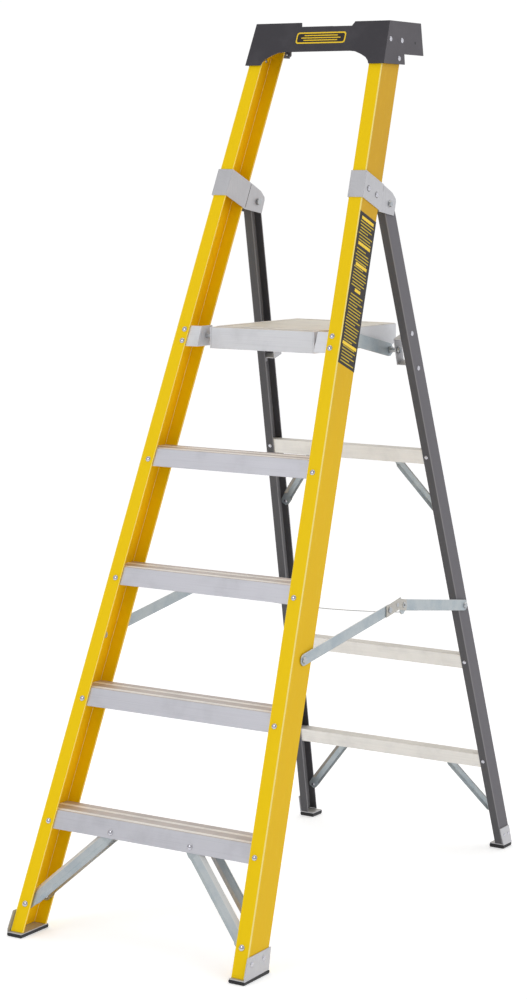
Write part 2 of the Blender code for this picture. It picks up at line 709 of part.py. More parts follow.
def spreader_link(side, label, hub):
    """A plate in line with the front bar, joggled in and down to a lug against the rear bar."""
    plate_face = spreader_link_face()
    half, thickness, rise = SPREADER_BAR_HALF, 0.0022, 0.17
    lug_face = spreader_rear_face(LINK_REAR[0] - half) + SPREADER_BAR_THICKNESS + GAP
    crease = LINK_REAR[0] - 0.0240
    stations = [(LINK_FRONT[0] - 0.0140, plate_face, LINK_FRONT[1] - 0.0140 * rise),
                (crease, plate_face, LINK_FRONT[1] + (crease - LINK_FRONT[0]) * rise),
                (crease + 0.0065, lug_face, LINK_REAR[1] + 0.0040),
                (LINK_REAR[0] + 0.0115, lug_face, LINK_REAR[1] - 0.0020)]
    loops = [[Vector((side * x, FOOT_Y + distance, z)) for x, z in (
        (face, middle - half), (face, middle + half),
        (face + thickness, middle + half), (face + thickness, middle - half))]
        for distance, face, middle in stations]
    return loft(f"spreader_link_{label}", loops, ALUMINIUM, hub)


def rear_spreader_bar(side, label, hub):
    """A flat bar from the rear stile to the link, with a lug below its front end for the wire."""
    half, lug = SPREADER_BAR_HALF, WIRE_DROP + 0.0045
    a, b = world(LINK_REAR), world(SPREADER_REAR)
    heading = math.degrees(math.atan2(b.z - a.z, b.y - a.y))
    far = arc((b.y, b.z), half, heading - 90, heading + 90, 6)
    top_front = arc((a.y, a.z), half, heading + 90, heading + 180, 3)
    toe = [(a.y - half, a.z - lug + 0.006), (a.y - half + 0.006, a.z - lug),
           (a.y + 0.004, a.z - lug), (a.y + 0.010, a.z - lug + 0.006)]

    def inner(y, z):
        return spreader_rear_face(y - FOOT_Y)

    def outer(y, z):
        return inner(y, z) + SPREADER_BAR_THICKNESS

    item = plate(f"spreader_rear_bar_{label}", far + top_front + toe, side, inner, outer, ZINC, hub)
    face = spreader_rear_face(SPREADER_REAR[0])
    drill(item, SPREADER_REAR, side, face - 0.004, face + 0.008)
    face = spreader_rear_face(LINK_REAR[0])
    drill(item, LINK_REAR, side, face - 0.004, face + 0.008)


WIRE_RADIUS = 0.0012
WIRE_SAG = 0.0120
WIRE_DROP = 0.0160  # how far below the link's rear pivot the wire is tied
WIRE_SET_BACK = -0.0050


def tie_wire(hub):
    """A thin wire from lug to lug that bows down a little and holds the two elbows together."""
    half = spreader_rear_face(LINK_REAR[0] + WIRE_SET_BACK) - GAP
    centre = world((LINK_REAR[0] + WIRE_SET_BACK, LINK_REAR[1] - WIRE_DROP))
    steps, segments = 16, 6
    loops = []
    for step in range(steps + 1):
        share = 2.0 * step / steps - 1.0
        z = centre.z - WIRE_SAG * (1.0 - share * share)
        loops.append([
            Vector((share * half, centre.y + WIRE_RADIUS * math.cos(a), z + WIRE_RADIUS * math.sin(a)))
            for a in (2 * math.pi * turn / segments for turn in range(segments))
        ])
    loft("spreader_tie_wire", loops, ZINC, hub)


def main():
    clear_scene()
    front_stiles()
    treads()
    front_braces()
    top_cap()
    hinge_brackets()
    platform_brackets()
    front_feet()
    front_spreader_bolts()
    rear_hub = pivot("rear_frame_pivot", HINGE)
    rear_frame(rear_hub)
    platform(pivot("platform_pivot", PLATFORM_PIVOT))
    platform_arms(rear_hub)
    spreaders(rear_hub)
    bpy.context.view_layer.update()


main()
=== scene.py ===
import json
import logging
import math
from dataclasses import dataclass, field
from enum import Enum
from typing import Iterable, Optional, Sequence, Union

import bmesh
import bpy
from mathutils import Matrix, Vector
from mathutils.bvhtree import BVHTree

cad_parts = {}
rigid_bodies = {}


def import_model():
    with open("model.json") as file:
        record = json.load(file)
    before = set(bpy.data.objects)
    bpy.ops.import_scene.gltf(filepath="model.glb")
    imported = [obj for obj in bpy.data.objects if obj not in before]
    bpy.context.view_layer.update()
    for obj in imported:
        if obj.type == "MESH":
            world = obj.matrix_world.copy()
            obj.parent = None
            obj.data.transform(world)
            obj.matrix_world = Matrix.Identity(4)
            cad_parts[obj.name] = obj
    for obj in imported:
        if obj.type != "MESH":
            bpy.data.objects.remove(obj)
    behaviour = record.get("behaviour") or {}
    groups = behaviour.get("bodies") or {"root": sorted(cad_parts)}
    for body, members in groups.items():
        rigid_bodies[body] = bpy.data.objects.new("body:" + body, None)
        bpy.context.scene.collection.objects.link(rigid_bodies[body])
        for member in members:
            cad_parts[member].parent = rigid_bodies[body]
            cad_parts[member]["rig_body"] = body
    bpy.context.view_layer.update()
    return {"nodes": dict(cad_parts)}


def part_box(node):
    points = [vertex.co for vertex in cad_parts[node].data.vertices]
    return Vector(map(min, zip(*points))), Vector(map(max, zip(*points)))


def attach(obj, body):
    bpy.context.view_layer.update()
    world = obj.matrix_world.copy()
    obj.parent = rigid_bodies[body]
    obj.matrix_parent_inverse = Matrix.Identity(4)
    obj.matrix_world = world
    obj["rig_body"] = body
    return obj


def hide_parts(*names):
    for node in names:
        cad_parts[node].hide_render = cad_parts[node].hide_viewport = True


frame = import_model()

LOG = logging.getLogger("step_ladder")

FOOT_Y = -0.6081  # where the front face of the front stiles meets the floor
GAP = 0.0003
TREAD_WALL = 0.0022
PLATE = 0.0020
OUTWARDS = Vector((1.0, 0.0, 0.0))


class Side(Enum):
    """A side of the ladder, valued by the sign of its x."""

    LEFT = -1
    RIGHT = 1

    @property
    def label(self) -> str:
        """The side's name as the nodes spell it."""
        return self.name.lower()


class Slot(Enum):
    """The record's material slots."""

    YELLOW = "grp_yellow"
    GREY = "grp_grey"
    ALUMINIUM = "aluminium"
    ZINC = "zinc"
    MOULDED = "moulded_black"
    RUBBER = "rubber"


Number = Union[int, float]


# ---------------------------------------------------------------- shader and geometry graphs


class Term:
    """One value in a node tree, which ordinary arithmetic can be done with."""

    def __init__(self, graph: "Graph", socket: bpy.types.NodeSocket) -> None:
        """Wraps an output socket of a graph."""
        self.graph = graph
        self.socket = socket

    def _math(self, operation: str, first: "Value", second: "Value" = 0.0) -> "Term":
        """One Math node on two values."""
        return self.graph.node("ShaderNodeMath", {"operation": operation}, [first, second])

    def __add__(self, other: "Value") -> "Term":
        """self + other."""
        return self._math("ADD", self, other)

    __radd__ = __add__

    def __mul__(self, other: "Value") -> "Term":
        """self * other."""
        return self._math("MULTIPLY", self, other)

    __rmul__ = __mul__

    def __sub__(self, other: "Value") -> "Term":
        """self - other."""
        return self._math("SUBTRACT", self, other)

    def __rsub__(self, other: "Value") -> "Term":
        """other - self."""
        return self._math("SUBTRACT", other, self)

    def __truediv__(self, other: "Value") -> "Term":
        """self / other."""
        return self._math("DIVIDE", self, other)

    def __neg__(self) -> "Term":
        """-self."""
        return self._math("MULTIPLY", self, -1.0)

    def __pow__(self, other: "Value") -> "Term":
        """self ** other."""
        return self._math("POWER", self, other)

    def above(self, level: "Value") -> "Term":
        """1 where self is above level."""
        return self._math("GREATER_THAN", self, level)

    def least(self, other: "Value") -> "Term":
        """The smaller of the two."""
        return self._math("MINIMUM", self, other)

    def most(self, other: "Value") -> "Term":
        """The larger of the two."""
        return self._math("MAXIMUM", self, other)

    def size(self) -> "Term":
        """The absolute value."""
        return self._math("ABSOLUTE", self)

    def ramp(self, low: Number, high: Number, start: Number = 0.0, end: Number = 1.0) -> "Term":
        """Eases from start to end as self goes from low to high."""
        return self.graph.node("ShaderNodeMapRange", {"interpolation_type": "SMOOTHSTEP"},
                               {"Value": self, "From Min": low, "From Max": high,
                                "To Min": start, "To Max": end})


Value = Union[Term, int, float, tuple]


class Graph:
    """A node tree that is built by calls, whether of a material or of a geometry modifier."""

    def __init__(self, tree: bpy.types.NodeTree) -> None:
        """Takes an empty tree."""
        self.tree = tree

    def add(self, kind: str, settings: Optional[dict] = None,
            inputs: Union[dict, list, None] = None) -> bpy.types.Node:
        """Adds a node.

        Args:
            kind: the node's type.
            settings: its own properties, set before its sockets are.
            inputs: values or terms for its sockets, by name, or by place in a list.

        Returns:
            The node.
        """
        made = self.tree.nodes.new(kind)
        for name, value in (settings or {}).items():
            setattr(made, name, value)
        pairs = inputs.items() if isinstance(inputs, dict) else enumerate(inputs or [])
        for key, value in pairs:
            if isinstance(value, Term):
                self.tree.links.new(value.socket, made.inputs[key])
            elif isinstance(value, bpy.types.NodeSocket):
                self.tree.links.new(value, made.inputs[key])
            else:
                made.inputs[key].default_value = value
        return made

    def node(self, kind: str, settings: Optional[dict] = None,
             inputs: Union[dict, list, None] = None, output: Union[int, str] = 0) -> Term:
        """Adds a node as add does, and gives one of its outputs as a term."""
        return Term(self, self.add(kind, settings, inputs).outputs[output])

    def mix(self, share: Value, first: Value, second: Value) -> Term:
        """A colour a share of the way from the first to the second."""
        made = self.add("ShaderNodeMix", {"data_type": "RGBA"})
        for index, value in ((0, share), (6, first), (7, second)):
            if isinstance(value, Term):
                self.tree.links.new(value.socket, made.inputs[index])
            else:
                made.inputs[index].default_value = value
        return Term(self, made.outputs[2])

    def noise(self, place: Term, scale: Number, detail: Number = 3.0,
              roughness: Number = 0.55) -> Term:
        """Noise of about 0 to 1 over a place."""
        return self.node("ShaderNodeTexNoise", {}, {"Vector": place, "Scale": scale,
                                                    "Detail": detail, "Roughness": roughness})

    def stretched(self, place: Term, factors: tuple, turn: Number = 0.0) -> Term:
        """A place turned about X and then scaled along each axis."""
        turned = self.node("ShaderNodeMapping", {}, {"Vector": place,
                                                     "Rotation": (turn, 0.0, 0.0)})
        return self.node("ShaderNodeVectorMath", {"operation": "MULTIPLY"}, [turned, factors])

    def parts(self, place: Term) -> tuple[Term, Term, Term]:
        """The three numbers of a vector."""
        made = self.add("ShaderNodeSeparateXYZ", {}, [place])
        return tuple(Term(self, made.outputs[index]) for index in range(3))


def paint(red: int, green: int, blue: int) -> tuple:
    """The linear colour of three screen values of 0 to 255."""
    def linear(value: int) -> float:
        """One screen value made linear."""
        share = value / 255.0
        return share / 12.92 if share <= 0.04045 else ((share + 0.055) / 1.055) ** 2.4
    return (linear(red), linear(green), linear(blue), 1.0)


# ---------------------------------------------------------------- finishes


@dataclass(frozen=True)
class Look:
    """What a finish feeds to the shader."""

    colour: Term
    roughness: Term
    height: Term
    bump: float = 0.2
    depth: float = 0.0005


@dataclass(frozen=True)
class Finish:
    """A surface finish: its name, how metallic it is, and its coat."""

    name: str
    slot: Slot
    metallic: float = 0.0
    coat: float = 0.0
    coat_roughness: float = 0.2
    specular: float = 0.5
    glow: float = 0.0

    def look(self, graph: Graph, place: Term, facing: Term) -> Look:
        """The finish's colour, roughness and height, from the place and the way it faces."""
        raise NotImplementedError

    def material(self) -> bpy.types.Material:
        """The finish as a material, which is made once.

        Returns:
            The material.
        """
        made = bpy.data.materials.get(self.name)
        if made is not None:
            return made
        made = bpy.data.materials.new(self.name)
        made.use_nodes = True
        made.node_tree.nodes.clear()
        graph = Graph(made.node_tree)
        where = graph.add("ShaderNodeTexCoord")
        look = self.look(graph, Term(graph, where.outputs["Object"]),
                         Term(graph, where.outputs["Normal"]))
        shader = graph.add("ShaderNodeBsdfPrincipled", {}, {
            "Base Color": look.colour, "Roughness": look.roughness, "Metallic": self.metallic,
            "Coat Weight": self.coat, "Coat Roughness": self.coat_roughness,
            "Specular IOR Level": self.specular, "Emission Color": look.colour,
            "Emission Strength": self.glow,
            "Normal": graph.node("ShaderNodeBump", {}, {
                "Strength": look.bump, "Distance": look.depth, "Height": look.height}),
        })
        graph.add("ShaderNodeOutputMaterial", {}, {"Surface": Term(graph, shader.outputs[0])})
        return made


@dataclass(frozen=True)
class GlassFibre(Finish):
    """Pultruded glass fibre: glossy resin on the flanges, a veil of fibres on the web; the web and
    corner colours carry painted sheen, shade and highlight.
    """

    face: tuple = (0.8, 0.6, 0.02, 1.0)
    # outer web colour: part fibre veil, part painted sheen from the bright side
    web: tuple = (0.7, 0.5, 0.06, 1.0)
    # inner web colour, painted for its shade and bounce light; also the colour of the random mottle
    # and veil clouds
    inside: tuple = (0.6, 0.35, 0.0, 1.0)
    streak: tuple = (0.9, 0.75, 0.3, 1.0)
    # the outer web's colour higher up the stile
    weathered: tuple = (0.7, 0.5, 0.2, 1.0)
    # painted highlight colour for the rounded corners
    edge: tuple = (1.0, 0.9, 0.5, 1.0)
    turn: float = 0.0
    gloss: float = 0.34

    def look(self, graph: Graph, place: Term, facing: Term) -> Look:
        """Fibres run along the stile; the outer web is drier than the flanges and paler, partly by
        painted sheen; the inner web and the corners get painted shade and highlight tones.
        """
        across, _, height = graph.parts(place)
        sideways, _, _ = graph.parts(facing)
        on_web = sideways.size().ramp(0.75, 0.95)
        outwards = (sideways * across).ramp(-0.0005, 0.0005)
        fibres = graph.noise(graph.stretched(place, (420.0, 420.0, 9.0), self.turn), 1.0, 4.0, 0.7)
        veil = graph.noise(graph.stretched(place, (900.0, 900.0, 160.0), self.turn), 1.0, 2.0)
        clouds = graph.noise(graph.stretched(place, (9.0, 9.0, 2.2), self.turn), 1.0, 3.0)
        # the outer web's colour shifts towards the upper tone from 0.9 to 1.7 m high
        outer_web = graph.mix(height.ramp(0.9, 1.7), self.web, self.weathered)
        # painted light: the inner web takes its painted shade colour, the outer web its sheen-lit one
        web_tone = graph.mix(outwards, self.inside, outer_web)
        flat = graph.mix(on_web, self.face, web_tone)
        # painted highlight on the rounded convex and concave corners, picked by the way they face
        corner = sideways.size().ramp(0.25, 0.50) - sideways.size().ramp(0.80, 0.97)
        base = graph.mix(corner, flat, self.edge)
        mottled = graph.mix(clouds.ramp(0.35, 0.75) * 0.10, base, self.inside)
        streaked = graph.mix((fibres.ramp(0.52, 0.85) * (0.10 + on_web * 0.22)), mottled,
                             self.streak)
        colour = graph.mix(veil.ramp(0.60, 0.80) * on_web * 0.16, streaked, self.inside)
        rough = self.gloss + on_web * 0.14 + fibres * 0.08 + clouds * 0.05
        relief = fibres * 0.6 + veil * on_web * 0.8
        return Look(colour, rough, relief, 0.22, 0.0004)


class Grain(Enum):
    """The way a metal's drawing lines run, as the stretch of its noise along each axis."""

    ALONG_X = (6.0, 900.0, 900.0)
    ALONG_Y = (900.0, 6.0, 900.0)
    UPRIGHT = (700.0, 700.0, 10.0)


@dataclass(frozen=True)
class DrawnAluminium(Finish):
    """Extruded or rolled aluminium with drawing lines, a soft haze and faint handling marks."""

    tone: tuple = (0.62, 0.62, 0.66, 1.0)
    # colour of up-facing faces, painted for the light that falls on them
    warm: tuple = (0.55, 0.50, 0.45, 1.0)
    grain: Grain = Grain.ALONG_X
    rough: float = 0.38

    def look(self, graph: Graph, place: Term, facing: Term) -> Look:
        """Fine lines along the grain, clouded; a face that looks up gets a painted top tone for the
        light on it, and is rougher from wear.
        """
        _, _, upwards = graph.parts(facing)
        lines = graph.noise(graph.stretched(place, self.grain.value), 1.0, 4.0, 0.65)
        clouds = graph.noise(place, 14.0, 4.0, 0.6)
        marks = graph.noise(graph.stretched(place, (90.0, 60.0, 60.0)), 1.0, 5.0, 0.75)
        # up-facing share: painted light in the colour, wear in the roughness
        level = upwards.ramp(0.6, 0.95)
        base = graph.mix(level * 0.85, self.tone, self.warm)
        dark = paint(128, 128, 134)
        lined = graph.mix(lines.ramp(0.45, 0.80) * 0.20, base, dark)
        colour = graph.mix(clouds.ramp(0.45, 0.75) * 0.16 + marks.ramp(0.66, 0.80) * 0.18,
                           lined, dark)
        rough = self.rough + lines * 0.10 + clouds * 0.10 + level * 0.08
        height = lines * 0.8 + marks.ramp(0.6, 0.8) * 0.4
        return Look(colour, rough, height, 0.16, 0.0003)


@dataclass(frozen=True)
class ZincPlate(Finish):
    """Zinc plating: a cool grey with faint bluish clouds and a soft spangle."""

    tone: tuple = (0.40, 0.44, 0.46, 1.0)
    cool: tuple = (0.36, 0.42, 0.48, 1.0)
    rough: float = 0.34
    # shares of painted light on top faces and of painted reflection and shade below
    lit: float = 0.85
    shaded: float = 0.75

    def look(self, graph: Graph, place: Term, facing: Term) -> Look:
        """Clouds of two greys and a spangle; painted light on top faces, and a painted brownish
        reflection and shade below.
        """
        clouds = graph.noise(place, 22.0, 3.0, 0.6)
        cells = graph.node("ShaderNodeTexVoronoi", {}, {"Vector": place, "Scale": 240.0})
        specks = graph.noise(place, 420.0, 2.0)
        tinted = graph.mix(clouds.ramp(0.35, 0.70), self.tone, self.cool)
        spangled = graph.mix(cells.ramp(0.15, 0.55) * 0.16, tinted, paint(205, 210, 212))
        _, _, upwards = graph.parts(facing)
        # painted light: faces that look up turn near white
        top_painted_light = graph.mix(upwards.ramp(0.25, 0.75) * self.lit, spangled, paint(240, 240, 238))
        # painted reflection and shade: faces that look down turn brown
        under = graph.mix((-upwards).ramp(0.25, 0.75) * self.shaded, top_painted_light,
                          paint(128, 106, 74))
        colour = graph.mix(specks.ramp(0.66, 0.78) * 0.30, under, paint(96, 100, 104))
        rough = self.rough + clouds * 0.16 + cells * 0.10
        return Look(colour, rough, cells * 0.5 + specks * 0.5, 0.12, 0.0003)


@dataclass(frozen=True)
class MouldedPlastic(Finish):
    """Dark moulded plastic with a fine leathery spark-eroded texture."""

    tone: tuple = (0.06, 0.06, 0.065, 1.0)
    # lighter colour for the random rubs and clouds, and for the painted light on sideways and upward
    # faces
    worn: tuple = (0.14, 0.13, 0.14, 1.0)
    rough: float = 0.50
    texture: float = 1500.0

    def look(self, graph: Graph, place: Term, facing: Term) -> Look:
        """An even dark tone, slightly clouded and rubbed, on a pebbled skin; faces turned sideways or
        up are painted lighter for the light on them.
        """
        pebbles = graph.node("ShaderNodeTexVoronoi", {}, {"Vector": place,
                                                          "Scale": self.texture})
        clouds = graph.noise(place, 18.0, 4.0, 0.6)
        rubs = graph.noise(graph.stretched(place, (60.0, 240.0, 60.0)), 1.0, 5.0, 0.7)
        sideways, _, upwards = graph.parts(facing)
        # the clouds and rubs are wear; the sideways and upward shares are painted light
        share = (clouds.ramp(0.4, 0.8) * 0.22 + rubs.ramp(0.64, 0.80) * 0.20
                 + sideways.size().ramp(0.6, 0.9) * 0.55 + upwards.ramp(0.6, 0.9) * 0.30)
        rough = self.rough + pebbles * 0.10 + clouds * 0.10
        return Look(graph.mix(share.least(1.0), self.tone, self.worn), rough, pebbles, 0.30,
                    0.0002)


@dataclass(frozen=True)
class PrintedFilm(Finish):
    """A thin printed film: one ink over a slightly wavy plastic."""

    ink: tuple = (0.03, 0.03, 0.032, 1.0)
    faded: tuple = (0.06, 0.06, 0.06, 1.0)
    rough: float = 0.42

    def look(self, graph: Graph, place: Term, facing: Term) -> Look:
        """The ink, faded in clouds, over a faint orange-peel surface."""
        clouds = graph.noise(place, 35.0, 3.0)
        peel = graph.noise(place, 600.0, 2.0)
        return Look(graph.mix(clouds.ramp(0.4, 0.8) * 0.5, self.ink, self.faded),
                    self.rough + clouds * 0.12, peel, 0.10, 0.0002)


@dataclass(frozen=True)
class FloorPaper(Finish):
    """The pale seamless floor."""

    tone: tuple = (0.95, 0.95, 0.95, 1.0)

    def look(self, graph: Graph, place: Term, facing: Term) -> Look:
        """Nearly even, with a trace of paper tooth."""
        tooth = graph.noise(place, 60.0, 4.0)
        return Look(graph.mix(tooth * 0.06, self.tone, paint(244, 244, 244)),
                    0.85 + tooth * 0.05, tooth, 0.02, 0.0005)


FRONT_LEAN = math.radians(21.78)
REAR_LEAN = math.radians(16.27)

# the web, inner and corner colours below are partly painted sheen, shade and highlight
YELLOW_FIBRE = GlassFibre("yellow_fibre", Slot.YELLOW, specular=0.10, face=paint(244, 206, 10),
                          web=paint(222, 180, 26), inside=paint(250, 196, 6),
                          weathered=paint(201, 156, 42), edge=paint(255, 244, 170),
                          streak=paint(244, 216, 84), turn=FRONT_LEAN)
GREY_FIBRE = GlassFibre("grey_fibre", Slot.GREY, specular=0.30, face=paint(74, 73, 76),
                        web=paint(100, 98, 103), inside=paint(122, 121, 124),
                        weathered=paint(104, 102, 107), edge=paint(128, 126, 130),
                        streak=paint(128, 126, 130), turn=-REAR_LEAN, gloss=0.42)
TREAD_ALUMINIUM = DrawnAluminium("tread_aluminium", Slot.ALUMINIUM, metallic=0.50,
                                 tone=paint(198, 198, 205), warm=paint(208, 196, 187))
# near-white tone of the ribs and the deck's bead: a painted highlight on their crests
RIB_HIGHLIGHT_ALUMINIUM = DrawnAluminium("rib_aluminium", Slot.ALUMINIUM, metallic=0.10,
                               tone=paint(250, 246, 240), warm=paint(255, 250, 242))
RAIL_ALUMINIUM = DrawnAluminium("rail_aluminium", Slot.ALUMINIUM, metallic=0.45,
                                tone=paint(214, 215, 219), warm=paint(232, 226, 214))
DECK_ALUMINIUM = DrawnAluminium("deck_aluminium", Slot.ALUMINIUM, metallic=0.35,
                                tone=paint(214, 214, 216), warm=paint(232, 226, 212))
REAR_ALUMINIUM = DrawnAluminium("rear_aluminium", Slot.ALUMINIUM, metallic=0.30,
                                tone=paint(226, 223, 218), warm=paint(222, 216, 206))
SHEET_ALUMINIUM = DrawnAluminium("sheet_aluminium", Slot.ALUMINIUM, metallic=0.50,
                                 tone=paint(190, 190, 194), warm=paint(200, 196, 190),
                                 grain=Grain.UPRIGHT, rough=0.34)
PLATE_ALUMINIUM = DrawnAluminium("plate_aluminium", Slot.ALUMINIUM, metallic=0.40,
                                 tone=paint(184, 181, 174), warm=paint(190, 187, 180),
                                 grain=Grain.ALONG_Y, rough=0.40)
RIVET_ALUMINIUM = DrawnAluminium("rivet_aluminium", Slot.ALUMINIUM, metallic=1.0,
                                 tone=paint(196, 196, 204), warm=paint(240, 240, 244),
                                 grain=Grain.UPRIGHT, rough=0.12)
# dark matte strips painted as shade along the hinge brackets' bends
CREASE_SHADE_ALUMINIUM = DrawnAluminium("crease_aluminium", Slot.ALUMINIUM, metallic=0.0,
                                  tone=paint(84, 84, 88), warm=paint(96, 92, 88))
DARK_ALUMINIUM = DrawnAluminium("dark_aluminium", Slot.ALUMINIUM, metallic=0.60,
                                tone=paint(118, 116, 118), warm=paint(118, 116, 118),
                                grain=Grain.UPRIGHT, rough=0.45)
BAR_ZINC = ZincPlate("bar_zinc", Slot.ZINC, metallic=0.60, tone=paint(172, 180, 184),
                     cool=paint(156, 168, 176))
BOLT_ZINC = ZincPlate("bolt_zinc", Slot.ZINC, metallic=0.90, tone=paint(178, 180, 182),
                      cool=paint(160, 166, 174), rough=0.24, lit=0.5, shaded=0.3)
CAP_PLASTIC = MouldedPlastic("cap_plastic", Slot.MOULDED, tone=paint(62, 60, 65),
                             worn=paint(100, 97, 102), specular=0.25)
PAD_RUBBER = MouldedPlastic("pad_rubber", Slot.RUBBER, tone=paint(38, 38, 40),
                            worn=paint(66, 66, 68), rough=0.72, texture=900.0)
DARK_FILM = PrintedFilm("dark_film", Slot.MOULDED, specular=0.15, ink=paint(54, 50, 50),
                        faded=paint(68, 64, 60))
YELLOW_FILM = PrintedFilm("yellow_film", Slot.YELLOW, ink=paint(244, 204, 20),
                          faded=paint(232, 196, 50))
DIM_FILM = PrintedFilm("dim_yellow_film", Slot.YELLOW, specular=0.15, ink=paint(206, 178, 50),
                       faded=paint(160, 140, 60))
PAPER = FloorPaper("floor_paper", Slot.MOULDED, glow=0.35)


# ---------------------------------------------------------------- places


@dataclass(frozen=True)
class Leaning:
    """A frame's own axes: u runs up its stiles and v to the back, square to their face."""

    foot: float
    lean: float
    half_width: float
    taper: float
    depth: float
    wall: float

    def outer(self, u: float) -> float:
        """Half the width between the stiles' outer faces at u."""
        return self.half_width - self.taper * u

    def point(self, x: float, u: float, v: float) -> Vector:
        """The world point of x, u and v."""
        return Vector((x, self.foot + u * math.sin(self.lean) + v * math.cos(self.lean),
                       u * math.cos(self.lean) - v * math.sin(self.lean)))

    def u_at(self, z: float, v: float) -> float:
        """u where the plane v is at the height z."""
        return (z + v * math.sin(self.lean)) / math.cos(self.lean)

    def local(self, distance: float, height: float) -> tuple[float, float]:
        """u and v of a place given by its distance behind the front foot and its height."""
        y = FOOT_Y + distance - self.foot
        return (y * math.sin(self.lean) + height * math.cos(self.lean),
                y * math.cos(self.lean) - height * math.sin(self.lean))

    def back(self) -> Vector:
        """The direction of v."""
        return Vector((0.0, math.cos(self.lean), -math.sin(self.lean)))

    def up(self) -> Vector:
        """The direction of u."""
        return Vector((0.0, math.sin(self.lean), math.cos(self.lean)))


FRONT = Leaning(FOOT_Y, FRONT_LEAN, 0.2960, 0.0627, 0.0759, 0.0035)
REAR = Leaning(FOOT_Y + 1.1783, -REAR_LEAN, 0.2830, 0.0625, 0.0434, 0.0030)
TREAD_TOPS = tuple(0.2573 + 0.250 * index for index in range(4))
REAR_BAR_TOPS = (0.240, 0.490, 0.983)


# ---------------------------------------------------------------- mesh helpers


def new_object(name: str, mesh: bpy.types.Mesh) -> bpy.types.Object:
    """An object for a mesh, linked into the scene."""
    made = bpy.data.objects.new(name, mesh)
    bpy.context.scene.collection.objects.link(made)
    return made


def mesh_of(name: str, points: Sequence, faces: Iterable, turn_out: bool = True
            ) -> bpy.types.Object:
    """An object from points and faces.

    Args:
        name: the object's name.
        points: its corners, in the ladder's frame.
        faces: lists of corner numbers.
        turn_out: whether its faces are to be turned outwards.

    Returns:
        The object.
    """
    bm = bmesh.new()
    corners = [bm.verts.new(point) for point in points]
    for face in faces:
        bm.faces.new([corners[index] for index in face])
    if turn_out:
        bmesh.ops.recalc_face_normals(bm, faces=bm.faces)
    mesh = bpy.data.meshes.new(name)
    bm.to_mesh(mesh)
    bm.free()
    return new_object(name, mesh)


def loft(name: str, loops: Sequence[Sequence]) -> bpy.types.Object:
    """A closed body through loops of equally many points, with a face at each end."""
    count = len(loops[0])
    points = [point for loop in loops for point in loop]
    faces = [list(range(count)), list(range(len(points) - count, len(points)))]
    for ring in range(len(loops) - 1):
        for index in range(count):
            here, after = ring * count + index, ring * count + (index + 1) % count
            faces.append([here, after, after + count, here + count])
    return mesh_of(name, points, faces)


def soften(obj: bpy.types.Object, width: float, segments: int = 2, angle: float = 32.0
           ) -> bpy.types.Object:
    """Rounds an object's edges and makes the result a plain mesh.

    Args:
        obj: the object; its own mesh is replaced.
        width: the rounding's width in metres.
        segments: how many facets the rounding has.
        angle: the least angle, in degrees, at which an edge is rounded.

    Returns:
        The object.
    """
    for face in obj.data.polygons:
        face.use_smooth = True
    obj.data.set_sharp_from_angle(angle=math.radians(angle))
    if width > 0:
        bevel = obj.modifiers.new("rounding", "BEVEL")
        bevel.width = width
        bevel.segments = segments
        bevel.limit_method = "ANGLE"
        bevel.angle_limit = math.radians(angle)
        bevel.use_clamp_overlap = True
        bevel.harden_normals = True
    weighted = obj.modifiers.new("normals", "WEIGHTED_NORMAL")
    weighted.keep_sharp = True
    return settle(obj)


def settle(obj: bpy.types.Object) -> bpy.types.Object:
    """Turns an object's evaluated result into its plain mesh and removes its modifiers."""
    bpy.context.view_layer.update()
    graph = bpy.context.evaluated_depsgraph_get()
    done = bpy.data.meshes.new_from_object(obj.evaluated_get(graph),
                                           preserve_all_data_layers=True, depsgraph=graph)
    old = obj.data
    obj.modifiers.clear()
    obj.data = done
    if old.users == 0:
        bpy.data.meshes.remove(old)
    done.name = obj.name
    return obj


def cleaned_copy(node: str, name: str) -> bpy.types.Object:
    """A copy of a CAD node with its loose triangles merged into whole faces."""
    bm = bmesh.new()
    bm.from_mesh(frame["nodes"][node].data)
    bmesh.ops.remove_doubles(bm, verts=bm.verts, dist=2e-5)
    bmesh.ops.dissolve_limit(bm, angle_limit=math.radians(0.8), verts=bm.verts, edges=bm.edges)
    mesh = bpy.data.meshes.new(name)
    bm.to_mesh(mesh)
    bm.free()
    return new_object(name, mesh)


def skin_at(node: str, start: Vector, aim: Vector) -> Vector:
    """Where a straight line first meets a CAD node's surface.

    Args:
        node: the CAD node.
        start: where the line starts.
        aim: which way it goes.

    Returns:
        The point on the surface.
    """
    mesh = frame["nodes"][node].data
    tree = BVHTree.FromPolygons([v.co for v in mesh.vertices],
                                [tuple(p.vertices) for p in mesh.polygons])
    return tree.ray_cast(start, aim)[0]


class Workshop:
    """Dresses finished pieces, puts them on their bodies and reports them."""

    def __init__(self) -> None:
        """Starts with nothing made."""
        self.count = 0

    def fit(self, piece: bpy.types.Object, body: str, finish: Finish, *stands_for: str
            ) -> bpy.types.Object:
        """Gives a piece its finish and its body.

        Args:
            piece: the finished mesh object.
            body: the CAD body it moves with.
            finish: its finish.
            stands_for: the CAD nodes that it replaces.

        Returns:
            The piece.
        """
        piece.data.materials.clear()
        piece.data.materials.append(finish.material())
        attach(piece, body)
        if stands_for:
            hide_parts(*stands_for)
        self.count += 1
        LOG.info("%s on %s: %s, %d faces", piece.name, body, finish.name,
                 len(piece.data.polygons))
        return piece

    def refine(self, node: str, finish: Finish, width: float, segments: int = 2
               ) -> bpy.types.Object:
        """A finer copy of a CAD node with rounded edges, which stands for it."""
        piece = soften(cleaned_copy(node, f"{node}_fine"), width, segments)
        return self.fit(piece, frame["nodes"][node]["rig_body"], finish, node)


# ---------------------------------------------------------------- what repeats


